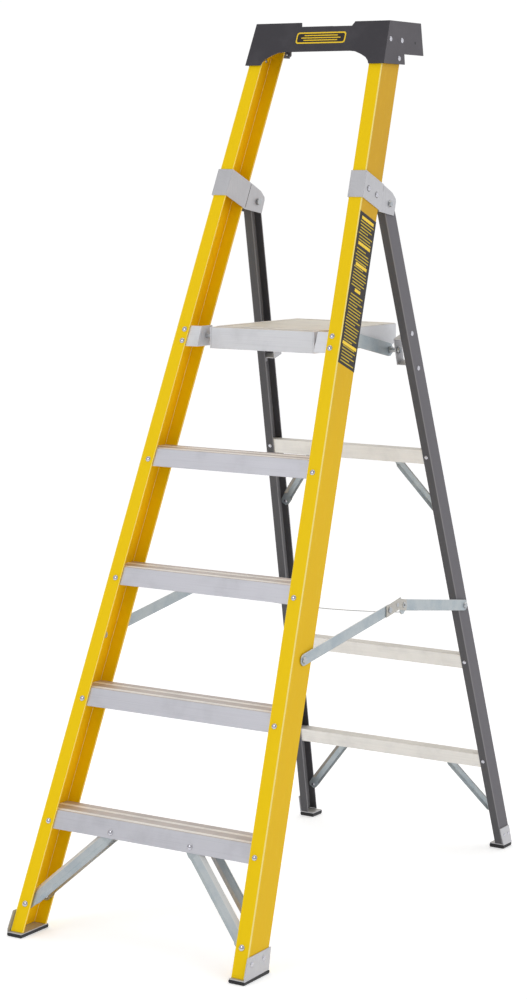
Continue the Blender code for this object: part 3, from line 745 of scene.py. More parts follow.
@dataclass
class RivetTree:
    """A geometry tree that puts a domed rivet head on every point, aimed along its normal."""

    name: str = "domed_rivets"

    def build(self) -> bpy.types.NodeTree:
        """Builds the tree once.

        Returns:
            The tree, with inputs Radius, Height, Dimple and Finish.
        """
        made = bpy.data.node_groups.get(self.name)
        if made is not None:
            return made
        made = bpy.data.node_groups.new(self.name, "GeometryNodeTree")
        face = made.interface
        face.new_socket("Geometry", in_out="INPUT", socket_type="NodeSocketGeometry")
        for label, value in (("Radius", 0.006), ("Height", 0.0026), ("Dimple", 0.0008)):
            face.new_socket(label, in_out="INPUT",
                            socket_type="NodeSocketFloat").default_value = value
        face.new_socket("Finish", in_out="INPUT", socket_type="NodeSocketMaterial")
        face.new_socket("Geometry", in_out="OUTPUT", socket_type="NodeSocketGeometry")
        graph = Graph(made)
        given = graph.add("NodeGroupInput")
        radius, height, dimple = (Term(graph, given.outputs[label])
                                  for label in ("Radius", "Height", "Dimple"))
        ball = graph.node("GeometryNodeMeshUVSphere", {}, {"Segments": 20, "Rings": 14,
                                                           "Radius": 1.0})
        x, y, z = graph.parts(graph.node("GeometryNodeInputPosition"))
        out = (x * x + y * y) ** 0.5
        hollow = (1.0 - out.ramp(0.22, 0.50)) * dimple
        raised = z.most(0.0) * height - hollow * z.above(0.0)
        place = graph.node("ShaderNodeCombineXYZ", {}, [x * radius, y * radius, raised])
        head = graph.node("GeometryNodeSetPosition", {}, {"Geometry": ball, "Position": place})
        aim = graph.node("GeometryNodeInputNamedAttribute", {"data_type": "FLOAT_VECTOR"},
                         {"Name": "aim"})
        turn = graph.node("FunctionNodeAlignRotationToVector", {"axis": "Z"}, {"Vector": aim})
        spread = graph.node("GeometryNodeInstanceOnPoints", {}, {
            "Points": given.outputs["Geometry"], "Instance": head, "Rotation": turn})
        real = graph.node("GeometryNodeRealizeInstances", {}, {"Geometry": spread})
        smooth = graph.node("GeometryNodeSetShadeSmooth", {}, {"Geometry": real})
        dressed = graph.node("GeometryNodeSetMaterial", {}, {
            "Geometry": smooth, "Material": given.outputs["Finish"]})
        graph.add("NodeGroupOutput", {}, {"Geometry": dressed})
        return made


@dataclass
class RibTree:
    """A geometry tree that lays equal straight ribs side by side along a step."""

    name: str = "straight_ribs"

    def build(self) -> bpy.types.NodeTree:
        """Builds the tree once.

        Returns:
            The tree, with inputs Count, Start, Step, Size and Finish.
        """
        made = bpy.data.node_groups.get(self.name)
        if made is not None:
            return made
        made = bpy.data.node_groups.new(self.name, "GeometryNodeTree")
        face = made.interface
        face.new_socket("Geometry", in_out="INPUT", socket_type="NodeSocketGeometry")
        face.new_socket("Count", in_out="INPUT", socket_type="NodeSocketInt")
        for label in ("Start", "Step", "Size"):
            face.new_socket(label, in_out="INPUT", socket_type="NodeSocketVector")
        face.new_socket("Finish", in_out="INPUT", socket_type="NodeSocketMaterial")
        face.new_socket("Geometry", in_out="OUTPUT", socket_type="NodeSocketGeometry")
        graph = Graph(made)
        given = graph.add("NodeGroupInput")
        row = graph.node("GeometryNodeMeshLine", {"mode": "OFFSET"}, {
            "Count": given.outputs["Count"], "Start Location": given.outputs["Start"],
            "Offset": given.outputs["Step"]})
        bar = graph.node("GeometryNodeMeshCube", {}, {"Size": given.outputs["Size"],
                                                      "Vertices X": 2, "Vertices Y": 4})
        x, y, z = graph.parts(graph.node("GeometryNodeInputPosition"))
        width = graph.node("ShaderNodeSeparateXYZ", {}, [given.outputs["Size"]], 1)
        narrow = (y / width * 2.0).size() ** 3.0
        tall = graph.node("ShaderNodeSeparateXYZ", {}, [given.outputs["Size"]], 2)
        lowered = z - narrow * tall * z.above(0.0) * 0.55
        bent = graph.node("GeometryNodeSetPosition", {}, {
            "Geometry": bar,
            "Position": graph.node("ShaderNodeCombineXYZ", {}, [x, y, lowered])})
        spread = graph.node("GeometryNodeInstanceOnPoints", {}, {"Points": row,
                                                                 "Instance": bent})
        real = graph.node("GeometryNodeRealizeInstances", {}, {"Geometry": spread})
        dressed = graph.node("GeometryNodeSetMaterial", {}, {
            "Geometry": real, "Material": given.outputs["Finish"]})
        graph.add("NodeGroupOutput", {}, {"Geometry": dressed})
        return made


@dataclass
class PrintTree:
    """A geometry tree that stands a short block for each stroke of a line of plain print."""

    name: str = "plain_print"

    def build(self) -> bpy.types.NodeTree:
        """Builds the tree once.

        Returns:
            The tree, with inputs Thickness, Seed and Finish. The points carry a stroke's
            length and height in "size" and its directions in "along" and "aim".
        """
        made = bpy.data.node_groups.get(self.name)
        if made is not None:
            return made
        made = bpy.data.node_groups.new(self.name, "GeometryNodeTree")
        face = made.interface
        face.new_socket("Geometry", in_out="INPUT", socket_type="NodeSocketGeometry")
        face.new_socket("Thickness", in_out="INPUT", socket_type="NodeSocketFloat")
        face.new_socket("Seed", in_out="INPUT", socket_type="NodeSocketInt")
        face.new_socket("Finish", in_out="INPUT", socket_type="NodeSocketMaterial")
        face.new_socket("Geometry", in_out="OUTPUT", socket_type="NodeSocketGeometry")
        graph = Graph(made)
        given = graph.add("NodeGroupInput")
        block = graph.node("GeometryNodeMeshCube", {}, {"Size": (1.0, 1.0, 1.0)})

        def stored(label: str) -> Term:
            """A vector that the points carry."""
            return graph.node("GeometryNodeInputNamedAttribute",
                              {"data_type": "FLOAT_VECTOR"}, {"Name": label})

        turn = graph.node("FunctionNodeAxesToRotation",
                          {"primary_axis": "X", "secondary_axis": "Z"},
                          {"Primary Axis": stored("along"), "Secondary Axis": stored("aim")})
        size = graph.parts(stored("size"))
        jitter = graph.node("FunctionNodeRandomValue", {"data_type": "FLOAT"}, {
            2: 0.82, 3: 1.0, 8: given.outputs["Seed"]}, 1)
        scale = graph.node("ShaderNodeCombineXYZ", {}, [
            size[0] * jitter, size[1], Term(graph, given.outputs["Thickness"])])
        spread = graph.node("GeometryNodeInstanceOnPoints", {}, {
            "Points": given.outputs["Geometry"], "Instance": block, "Rotation": turn,
            "Scale": scale})
        real = graph.node("GeometryNodeRealizeInstances", {}, {"Geometry": spread})
        dressed = graph.node("GeometryNodeSetMaterial", {}, {
            "Geometry": real, "Material": given.outputs["Finish"]})
        graph.add("NodeGroupOutput", {}, {"Geometry": dressed})
        return made


def run_tree(name: str, tree: bpy.types.NodeTree, points: Sequence[Vector],
             carried: dict[str, Sequence[Vector]], values: dict[str, object]
             ) -> bpy.types.Object:
    """Runs a geometry tree on points and makes its result a plain mesh.

    Args:
        name: the piece's name.
        tree: the tree.
        points: where its points are.
        carried: vectors for each point, by attribute name.
        values: the tree's inputs by name.

    Returns:
        The piece.
    """
    mesh = bpy.data.meshes.new(name)
    mesh.from_pydata([tuple(point) for point in points], [], [])
    for label, vectors in carried.items():
        layer = mesh.attributes.new(label, "FLOAT_VECTOR", "POINT")
        layer.data.foreach_set("vector", [number for vector in vectors for number in vector])
    piece = new_object(name, mesh)
    modifier = piece.modifiers.new("repeat", "NODES")
    modifier.node_group = tree
    for item in tree.interface.items_tree:
        if item.item_type == "SOCKET" and item.in_out == "INPUT" and item.name in values:
            modifier[item.identifier] = values[item.name]
    settle(piece)
    for label in list(carried):
        layer = piece.data.attributes.get(label)
        if layer is not None:
            piece.data.attributes.remove(layer)
    return piece


@dataclass
class RivetSet:
    """Rivet heads of one size on one body."""

    name: str
    body: str
    radius: float = 0.0062
    height: float = 0.0032
    dimple: float = 0.0
    finish: Finish = RIVET_ALUMINIUM
    places: list = field(default_factory=list)

    def put(self, place: Vector, aim: Vector) -> None:
        """Adds a rivet that stands on a place and points along aim."""
        self.places.append((place, aim.normalized()))

    def put_pair(self, place: Vector, aim: Vector) -> None:
        """Adds a rivet and its mirror image on the other side."""
        self.put(place, aim)
        self.put(Vector((-place.x, place.y, place.z)), Vector((-aim.x, aim.y, aim.z)))

    def build(self, shop: Workshop) -> bpy.types.Object:
        """Makes the rivets one piece.

        Args:
            shop: the workshop that fits it.

        Returns:
            The piece.
        """
        piece = run_tree(self.name, RivetTree().build(), [place for place, _ in self.places],
                         {"aim": [aim for _, aim in self.places]},
                         {"Radius": self.radius, "Height": self.height,
                          "Dimple": self.dimple, "Finish": self.finish.material()})
        return shop.fit(piece, self.body, self.finish)


def ribs(name: str, count: int, start: Vector, step: Vector, size: Vector,
         finish: Finish) -> bpy.types.Object:
    """A row of straight ribs along X."""
    return run_tree(name, RibTree().build(), [Vector((0.0, 0.0, 0.0))], {},
                    {"Count": count, "Start": start, "Step": step, "Size": size,
                     "Finish": finish.material()})


# ---------------------------------------------------------------- sub-assemblies


@dataclass
class Stiles:
    """The four channels that the ladder stands on."""

    front_rounding: float = 0.0011
    rear_rounding: float = 0.0009

    def build(self, shop: Workshop) -> None:
        """Dresses the front and rear stiles."""
        for side in Side:
            shop.refine(f"front_stile_{side.label}", YELLOW_FIBRE, self.front_rounding)
            shop.refine(f"rear_stile_{side.label}", GREY_FIBRE, self.rear_rounding)


@dataclass
class Treads:
    """Four treads with ribbed tops, riveted through the stiles' flanges."""

    rib_count: int = 4
    rib_width: float = 0.0024
    rib_height: float = 0.0013
    groups: tuple = (0.0085, 0.0430)
    rib_step: float = 0.0029
    rivet_inset: float = 0.0210
    rivet_drop: float = 0.0233

    def build(self, shop: Workshop) -> None:
        """Builds the treads, their ribs and their rivets."""
        rivets = RivetSet("tread_rivets", "front_frame")
        for index, top in enumerate(TREAD_TOPS):
            shop.refine(f"tread_{index + 1}", TREAD_ALUMINIUM, 0.0009, 3)
            self.add_ribs(shop, index, top)
            height = top - self.rivet_drop
            for v, sign in ((0.0, -1.0), (FRONT.depth, 1.0)):
                u = FRONT.u_at(height, v)
                place = FRONT.point(FRONT.outer(u) - self.rivet_inset, u, v)
                rivets.put_pair(place, FRONT.back() * sign)
        rivets.build(shop)

    def add_ribs(self, shop: Workshop, index: int, top: float) -> None:
        """Lays the ribs on one tread's top."""
        for group, v in enumerate(self.groups):
            u = FRONT.u_at(top, v)
            front_y = FRONT.point(0.0, u, v).y
            length = 2 * (FRONT.outer(u) - FRONT.wall) - 0.0064
            # the ribs' near-white finish is a painted highlight
            piece = ribs(f"tread_{index + 1}_ribs_{group + 1}", self.rib_count,
                         Vector((0.0, front_y, top)), Vector((0.0, self.rib_step, 0.0)),
                         Vector((length, self.rib_width, self.rib_height)), RIB_HIGHLIGHT_ALUMINIUM)
            shop.fit(piece, "front_frame", RIB_HIGHLIGHT_ALUMINIUM)


@dataclass
class Braces:
    """The pressed braces of both frames and the rivets at their ends."""

    upper_fixing: tuple = (0.1000, 0.2315)
    lower_fixing: tuple = (0.2720, 0.0665)
    rear_fixings: tuple = ((0.1050, 0.9620), (0.2130, 0.8260), (0.1350, 0.2200),
                           (0.2580, 0.0800))
    on_stile: float = 0.2
    stand_off: float = 0.0017
    thickness: float = 0.0014
    crown: float = 0.0072
    half: float = 0.0158
    lip: float = 0.0046

    def build(self, shop: Workshop) -> None:
        """Builds or dresses the braces and rivets them.

        Args:
            shop: the workshop that fits the pieces.
        """
        for side in Side:
            self.pressed(shop, side)
            for stem in ("inner_brace", "rear_brace_upper", "rear_brace_lower"):
                shop.refine(f"{stem}_{side.label}", BAR_ZINC, 0.0004)
        heads = RivetSet("brace_rivets", "front_frame", radius=0.0068, height=0.0036)
        for x, z in (self.upper_fixing, self.lower_fixing):
            skirt = FRONT.wall + GAP if x < self.on_stile else 0.0
            for v, sign in ((skirt, -1.0), (FRONT.depth - skirt, 1.0)):
                u = FRONT.u_at(z, v)
                heads.put_pair(FRONT.point(x, u, v), FRONT.back() * sign)
            v = FRONT.depth - FRONT.wall - TREAD_WALL - 2 * GAP - self.stand_off
            heads.put_pair(FRONT.point(x, FRONT.u_at(z, v), v), -FRONT.back())
            v = FRONT.wall + TREAD_WALL + 2 * GAP + self.stand_off
            heads.put_pair(FRONT.point(x, FRONT.u_at(z, v), v), FRONT.back())
        heads.build(shop)
        rear = RivetSet("rear_brace_rivets", "rear_frame", radius=0.0046, height=0.0020)
        for x, z in self.rear_fixings:
            inner = REAR.depth - REAR.wall - PLATE - 2 * GAP - self.stand_off
            rear.put_pair(REAR.point(x, REAR.u_at(z, inner), inner), -REAR.back())
            outer = REAR.depth if x > self.on_stile else REAR.depth - REAR.wall - GAP
            rear.put_pair(REAR.point(x, REAR.u_at(z, outer), outer), REAR.back())
        rear.build(shop)

    def pressed(self, shop: Workshop, side: Side) -> None:
        """A front brace: a flat crown between two splayed edges, with flat tabs at its ends.

        Args:
            shop: the workshop that fits it.
            side: the side it is on.
        """
        v = FRONT.wall + TREAD_WALL + 2 * GAP + 0.0003
        first, last = (Vector((x, FRONT.u_at(z, v))) for x, z in (self.upper_fixing,
                                                                  self.lower_fixing))
        along = (last - first).normalized()
        across = Vector((-along.y, along.x))
        length = (last - first).length
        profile = [(-self.half, self.lip), (-self.crown, 0.0), (self.crown, 0.0),
                   (self.half, self.lip)]
        loops = []
        for distance, width, depth in ((-0.009, 0.5, 0.0), (-0.003, 0.9, 0.0), (0.016, 1.0, 0.0),
                                       (0.024, 1.0, 1.0), (length - 0.024, 1.0, 1.0),
                                       (length - 0.016, 1.0, 0.0), (length + 0.003, 0.9, 0.0),
                                       (length + 0.009, 0.5, 0.0)):
            loop = [(offset, drop * depth) for offset, drop in profile]
            loop += [(offset, drop * depth + self.thickness)
                     for offset, drop in reversed(profile)]
            spots = [(first + along * distance + across * offset * width, drop)
                     for offset, drop in loop]
            loops.append([FRONT.point(side.value * spot.x, spot.y, v + drop)
                          for spot, drop in spots])
        piece = soften(loft(f"front_brace_{side.label}_fine", loops), 0.0002, 1, 25.0)
        shop.fit(piece, "front_frame", BAR_ZINC, f"front_brace_{side.label}")


@dataclass
class RearBars:
    """The three bars across the rear frame."""

    rivet_drop: float = 0.0165
    rivet_inset: float = 0.0120
    rib_v: float = 0.014
    rib_step: float = 0.0130

    def build(self, shop: Workshop) -> None:
        """Dresses the bars and rivets them to the stiles' rear flanges."""
        rivets = RivetSet("rear_bar_rivets", "rear_frame", radius=0.0046, height=0.0020)
        for name, top in zip(("bottom", "middle", "top"), REAR_BAR_TOPS):
            shop.refine(f"rear_bar_{name}", REAR_ALUMINIUM, 0.0008, 3)
            for v, sign in ((REAR.depth, 1.0), (0.0, -1.0)):
                u = REAR.u_at(top - self.rivet_drop, v)
                rivets.put_pair(REAR.point(REAR.outer(u) - self.rivet_inset, u, v),
                                REAR.back() * sign)
            self.bead(shop, name, top)
        rivets.build(shop)

    def bead(self, shop: Workshop, name: str, top: float) -> None:
        """Two shallow ribs along a bar's top."""
        u = REAR.u_at(top, self.rib_v)
        length = 2 * (REAR.outer(u) - REAR.wall) - 0.0050
        piece = ribs(f"rear_bar_{name}_ribs", 2, REAR.point(0.0, u, self.rib_v),
                     Vector((0.0, self.rib_step, 0.0)), Vector((length, 0.0030, 0.0010)),
                     REAR_ALUMINIUM)
        shop.fit(piece, "rear_frame", REAR_ALUMINIUM)


@dataclass
class Hinges:
    """The folded brackets that join the frames, with their rivets and bolts."""

    rivets: tuple = ((0.6470, 1.5720), (0.6820, 1.5580))
    crease_low: float = 1.6760
    crease_high: float = 1.7310
    crease_v: float = 0.0815
    crease_half: float = 0.0006

    def build(self, shop: Workshop) -> None:
        """Dresses the brackets and bolts, rivets the brackets and paints shade along their bends.

        Args:
            shop: the workshop that fits the pieces.
        """
        heads = RivetSet("hinge_rivets", "front_frame", radius=0.0056, height=0.0034,
                         dimple=0.0010)
        seats = RivetSet("hinge_rivet_seats", "front_frame", radius=0.0072, height=0.0007,
                         finish=DARK_ALUMINIUM)
        for distance, height in self.rivets:
            u, v = FRONT.local(distance, height)
            place = FRONT.point(FRONT.outer(u) + GAP + PLATE, u, v)
            aim = OUTWARDS + FRONT.up() * FRONT.taper
            heads.put_pair(place, aim)
            seats.put_pair(place, aim)
        heads.build(shop)
        seats.build(shop)
        for side in Side:
            self.creases(shop, side)
            shop.refine(f"hinge_bracket_{side.label}", SHEET_ALUMINIUM, 0.0005)
            shop.refine(f"hinge_bolt_{side.label}", BOLT_ZINC, 0.0006)

    def creases(self, shop: Workshop, side: Side) -> None:
        """Thin dark strips painted as shade along the bend where each ear leaves its plate.

        Args:
            shop: the workshop that fits them.
            side: the bracket's side.
        """
        low, high, v, half = self.crease_low, self.crease_high, self.crease_v, self.crease_half
        node = f"hinge_bracket_{side.label}"
        for name, start, aim in (("outer", 0.4, -1.0), ("inner", 0.0, 1.0)):
            corners = [skin_at(node, Vector((side.value * start, spot.y, spot.z)),
                               Vector((side.value * aim, 0.0, 0.0)))
                       for spot in (FRONT.point(0.0, u, v + offset)
                                    for u, offset in ((low, -half), (low, half), (high, half),
                                                      (high, -half)))]
            loops = [[corner - Vector((side.value * aim * proud, 0.0, 0.0))
                      for corner in corners] for proud in (-0.0002, 0.0003)]
            # a dark strip standing in for the shade in the bend
            shop.fit(loft(f"hinge_crease_{name}_{side.label}", loops), "front_frame",
                     CREASE_SHADE_ALUMINIUM)


@dataclass
class Platform:
    """The folding platform, its brackets and its arms."""

    rib_count: int = 9
    rib_step: float = 0.0345
    rib_start: float = 0.024
    rim_width: float = 0.0030
    rim_rise: float = 0.0016
    bracket_rivet_x: float = 0.1880
    bracket_rivet_heights: tuple = (1.2375, 1.2620)
    arm_pin: tuple = (0.1395, 0.6810, 1.2440)
    arm_bracket_rivets: tuple = ((0.8320, 1.2507), (0.8550, 1.1720))

    def build(self, shop: Workshop) -> None:
        """Dresses the platform's pieces and lays its ribs and rivets.

        Args:
            shop: the workshop that fits the pieces.
        """
        shop.refine("platform_front_rail", RAIL_ALUMINIUM, 0.0008, 3)
        shop.refine("platform_deck", DECK_ALUMINIUM, 0.0008, 3)
        low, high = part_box("platform_deck")
        piece = ribs("platform_ribs", self.rib_count,
                     Vector((0.0, low.y + self.rib_start, high.z)), Vector((0.0, self.rib_step, 0.0)),
                     Vector((high.x - low.x - 0.004, 0.0040, 0.0012)), DECK_ALUMINIUM)
        shop.fit(piece, "platform", DECK_ALUMINIUM)
        self.rim(shop, low, high)
        heads = RivetSet("platform_bracket_rivets", "front_frame")
        for z in self.bracket_rivet_heights:
            u = FRONT.u_at(z, 0.0)
            heads.put_pair(FRONT.point(self.bracket_rivet_x, u, 0.0), -FRONT.back())
        heads.build(shop)
        arm_heads = RivetSet("platform_arm_rivets", "platform_arms", radius=0.0070,
                             height=0.0030, dimple=0.0010, finish=BOLT_ZINC)
        x, distance, height = self.arm_pin
        arm_heads.put_pair(Vector((x, FOOT_Y + distance, height)), OUTWARDS)
        arm_heads.build(shop)
        for side in Side:
            shop.refine(f"platform_side_{side.label}", RAIL_ALUMINIUM, 0.0006)
            shop.refine(f"platform_bracket_{side.label}", RAIL_ALUMINIUM, 0.0005)
            shop.refine(f"platform_bolt_{side.label}", BOLT_ZINC, 0.0006)
            shop.refine(f"platform_arm_{side.label}", BAR_ZINC, 0.0006)
            shop.refine(f"arm_bracket_{side.label}", SHEET_ALUMINIUM, 0.0005)
            shop.refine(f"arm_bolt_{side.label}", BOLT_ZINC, 0.0006)
        stile_heads = RivetSet("arm_bracket_rivets", "rear_frame", radius=0.0058,
                               height=0.0026)
        for distance, height in self.arm_bracket_rivets:
            u, v = REAR.local(distance, height)
            stile_heads.put_pair(REAR.point(REAR.outer(u), u, v),
                                 OUTWARDS + REAR.up() * REAR.taper)
        stile_heads.build(shop)

    def rim(self, shop: Workshop, low: Vector, high: Vector) -> None:
        """A low bead round the deck's edge.

        Args:
            shop: the workshop that fits it.
            low: the deck's lowest corner.
            high: the deck's highest corner.
        """
        width, rise = self.rim_width, self.rim_rise
        outer = [(low.x, low.y), (high.x, low.y), (high.x, high.y), (low.x, high.y)]
        inner = [(low.x + width, low.y + width), (high.x - width, low.y + width),
                 (high.x - width, high.y - width), (low.x + width, high.y - width)]
        points = [Vector((x, y, high.z + z)) for z in (0.0, rise) for ring in (outer, inner)
                  for x, y in ring]
        faces = []
        for corner in range(4):
            after = (corner + 1) % 4
            faces += [[corner, after, after + 8, corner + 8],
                      [corner + 4, after + 4, after + 12, corner + 12],
                      [corner + 8, after + 8, after + 12, corner + 12],
                      [corner, after, after + 4, corner + 4]]
        piece = mesh_of("platform_rim", points, faces)
        # the bead's near-white finish is a painted highlight along the deck's rim
        shop.fit(soften(piece, 0.0005), "platform", RIB_HIGHLIGHT_ALUMINIUM)


@dataclass
class Feet:
    """Foot brackets, their rivets and the rubber pads."""

    front_rivets: tuple = ((0.0124, 0.0360), (0.0563, 0.0360))
    rear_rivets: tuple = ((0.0120, 0.0340), (0.0310, 0.0340))
    tail: tuple = (0.0300, 0.0640)
    plate: float = 0.0022

    def build(self, shop: Workshop) -> None:
        """Dresses brackets and pads and rivets the brackets.

        Args:
            shop: the workshop that fits the pieces.
        """
        for side in Side:
            for end in ("front", "rear"):
                shop.refine(f"{end}_foot_bracket_{side.label}", SHEET_ALUMINIUM, 0.0005)
                shop.refine(f"{end}_foot_pad_{side.label}", PAD_RUBBER, 0.0010, 3)
        heads = RivetSet("front_foot_rivets", "front_frame", radius=0.0058, height=0.0022)
        for v, height in self.front_rivets:
            u = FRONT.u_at(height, v)
            heads.put_pair(FRONT.point(FRONT.outer(u) + GAP + self.plate, u, v), OUTWARDS)
        heads.build(shop)
        tails = RivetSet("front_foot_tails", "front_frame", radius=0.0046, height=0.0085,
                         finish=BOLT_ZINC)
        v, height = self.tail
        u = FRONT.u_at(height, v)
        tails.put_pair(FRONT.point(FRONT.outer(u) - FRONT.wall, u, v), -OUTWARDS)
        tails.build(shop)
        rear = RivetSet("rear_foot_rivets", "rear_frame", radius=0.0042, height=0.0018)
        for v, height in self.rear_rivets:
            u = REAR.u_at(height, v)
            rear.put_pair(REAR.point(REAR.outer(u) + GAP + self.plate, u, v), OUTWARDS)
        rear.build(shop)


@dataclass
class Spreaders:
    """The jointed spreaders outside the stiles and the wire between them."""

    plate_rivet: tuple = (0.6770, 0.6655)
    plate: float = 0.0022
    ring: tuple = (0.7160, 0.6595)
    ring_profile: tuple = ((0.0, 0.0030), (0.0009, 0.0028), (0.0016, 0.0036), (0.0019, 0.0048),
                           (0.0014, 0.0062), (0.0, 0.0068))
    ring_segments: int = 28

    def build(self, shop: Workshop) -> None:
        """Dresses the bars, plates, bolts and the wire.

        Args:
            shop: the workshop that fits the pieces.
        """
        for side in Side:
            shop.refine(f"spreader_front_bar_{side.label}", BAR_ZINC, 0.0006)
            shop.refine(f"spreader_rear_bar_{side.label}", BAR_ZINC, 0.0006)
            shop.refine(f"spreader_link_{side.label}", PLATE_ALUMINIUM, 0.0004)
            for stem in ("spreader_link_pin", "spreader_front_bolt", "spreader_rear_bolt"):
                shop.refine(f"{stem}_{side.label}", BOLT_ZINC, 0.0006)
        low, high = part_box("spreader_link_right")
        heads = RivetSet("spreader_link_rivets", "spreader_link", radius=0.0052,
                         height=0.0022, dimple=0.0012, finish=BOLT_ZINC)
        distance, height = self.plate_rivet
        heads.put_pair(Vector((high.x, FOOT_Y + distance, height)), OUTWARDS)
        heads.build(shop)
        self.eyelets(shop, low.x + self.plate)
        shop.refine("spreader_tie_wire", BOLT_ZINC, 0.0)

    def eyelets(self, shop: Workshop, face: float) -> None:
        """A rolled eyelet round each plate's rear hole.

        Args:
            shop: the workshop that fits them.
            face: how far out the plate's outer face is.
        """
        centre = Vector((0.0, FOOT_Y + self.ring[0], self.ring[1]))
        for side in Side:
            profile = [(face + proud, radius) for proud, radius in self.ring_profile]
            segments = self.ring_segments
            points, faces = [], []
            for x, radius in profile:
                for step in range(segments):
                    turn = 2 * math.pi * step / segments
                    points.append(Vector((side.value * x, centre.y + radius * math.cos(turn),
                                          centre.z + radius * math.sin(turn))))
            rows = len(profile)
            for row in range(rows):
                for step in range(segments):
                    after, below = (step + 1) % segments, (row + 1) % rows
                    faces.append([row * segments + step, row * segments + after,
                                  below * segments + after, below * segments + step])
            piece = mesh_of(f"spreader_eyelet_{side.label}", points, faces)
            for face_item in piece.data.polygons:
                face_item.use_smooth = True
            shop.fit(piece, "spreader_link", BOLT_ZINC)


@dataclass
class TopCap:
    """The moulded cap over the stiles' tops."""

    rivets: tuple = ((0.7670, 1.8945), (0.8180, 1.8930), (0.8010, 1.8535))
    hole: tuple = (0.8780, 1.8900)
    badge_centre: tuple = (0.0050, 1.9000)
    badge_half: tuple = (0.0630, 0.0125)
    half_width: float = 0.1780
    bottom: float = 1.8410
    slope: float = 0.0725
    apron: float = -0.0045
    hook_front: float = 0.7650
    hook_depth: float = 0.0100
    hook_outline: tuple = ((-0.0930, 1.8900), (-0.0930, 1.8620), (-0.0900, 1.8600),
                           (-0.0850, 1.8600), (-0.0825, 1.8625), (-0.0825, 1.8900))
    hook_screw: tuple = (-0.0890, 1.8650)
    stripe_step: float = 0.0052

    def build(self, shop: Workshop) -> None:
        """Dresses the cap, rivets it and adds its hook and badge.

        Args:
            shop: the workshop that fits the pieces.
        """
        shop.refine("top_cap", CAP_PLASTIC, 0.0014, 3)
        heads = RivetSet("cap_rivets", "front_frame", radius=0.0058, height=0.0026,
                         dimple=0.0008)
        tails = RivetSet("cap_rivet_tails", "front_frame", radius=0.0045, height=0.0024,
                         finish=BOLT_ZINC)
        for distance, height in self.rivets:
            heads.put_pair(self.on_side(distance, height), Vector((1.0, 0.0, self.slope)))
            u, v = FRONT.local(distance, height)
            if v < FRONT.depth - FRONT.wall:
                tails.put_pair(FRONT.point(FRONT.outer(u) - FRONT.wall, u, v), -OUTWARDS)
        heads.build(shop)
        tails.build(shop)
        # flat dark discs painted as the shade within each side hole of the cap
        hole_shades = RivetSet("cap_side_holes", "front_frame", radius=0.0034, height=0.0003,
                         finish=PAD_RUBBER)
        hole_shades.put_pair(self.on_side(*self.hole), Vector((1.0, 0.0, self.slope)))
        hole_shades.build(shop)
        self.hook(shop)
        self.badge(shop)

    def on_side(self, distance: float, height: float) -> Vector:
        """A point on the cap's right side."""
        return Vector((self.half_width - self.slope * (height - self.bottom),
                       FOOT_Y + distance, height))

    def hook(self, shop: Workshop) -> None:
        """A small moulded hook that hangs behind the front face."""
        y = FOOT_Y + self.hook_front
        piece = loft("cap_hook", [[Vector((x, place, z)) for x, z in self.hook_outline]
                                  for place in (y, y + self.hook_depth)])
        shop.fit(soften(piece, 0.0008), "front_frame", CAP_PLASTIC)
        screw = RivetSet("cap_hook_screw", "front_frame", radius=0.0030, height=0.0016,
                         finish=BOLT_ZINC)
        x, z = self.hook_screw
        screw.put(Vector((x, y, z)), Vector((0.0, -1.0, 0.0)))
        screw.build(shop)

    def on_apron(self, x: float, z: float, proud: float) -> Vector:
        """A point on the cap's front face, a little proud of it."""
        v = self.apron - proud
        return FRONT.point(x, FRONT.u_at(z, v), v)

    def rounded(self, centre: tuple, half: tuple, radius: float) -> list[tuple[float, float]]:
        """A rectangle with round corners, as (x, z) points."""
        outline = []
        for corner, (sx, sz) in enumerate(((1, 1), (-1, 1), (-1, -1), (1, -1))):
            for step in range(6):
                turn = math.radians(90 * corner + 18 * step)
                outline.append((centre[0] + sx * (half[0] - radius) + radius * math.cos(turn),
                                centre[1] + sz * (half[1] - radius) + radius * math.sin(turn)))
        return outline

    def patch(self, name: str, outline: list, low: float, high: float) -> bpy.types.Object:
        """A thin raised patch on the cap's front face."""
        return loft(name, [[self.on_apron(x, z, proud) for x, z in outline]
                           for proud in (low, high)])

    def badge(self, shop: Workshop) -> None:
        """A plain yellow-edged plaque with short bars in it, which spell nothing.

        Args:
            shop: the workshop that fits its pieces.
        """
        plaque = self.patch("cap_badge", self.rounded(self.badge_centre, self.badge_half, 0.006),
                            -0.0002, 0.0003)
        shop.fit(plaque, "front_frame", YELLOW_FILM)
        x, z = self.badge_centre
        field_piece = self.patch("cap_badge_field",
                                 self.rounded((x, z), (self.badge_half[0] - 0.0030,
                                                       self.badge_half[1] - 0.0030), 0.0040),
                                 0.0001, 0.0005)
        shop.fit(field_piece, "front_frame", DARK_FILM)
        points, along, aims, sizes = [], [], [], []
        for row in (-1, 0, 1):
            points.append(self.on_apron(x, z + row * self.stripe_step, 0.0006))
            along.append(OUTWARDS)
            aims.append(-FRONT.back())
            sizes.append(Vector((0.1060 - 0.018 * abs(row), 0.0022, 1.0)))
        stripes = run_tree("cap_badge_stripes", PrintTree().build(), points,
                           {"along": along, "aim": aims, "size": sizes},
                           {"Thickness": 0.0004, "Seed": 3,
                            "Finish": YELLOW_FILM.material()})
        shop.fit(stripes, "front_frame", YELLOW_FILM)


class Band(Enum):
    """The kinds of line on the stile's label, with the height of their strokes."""

    TEXT = 0.0024
    HEADING = 0.0070


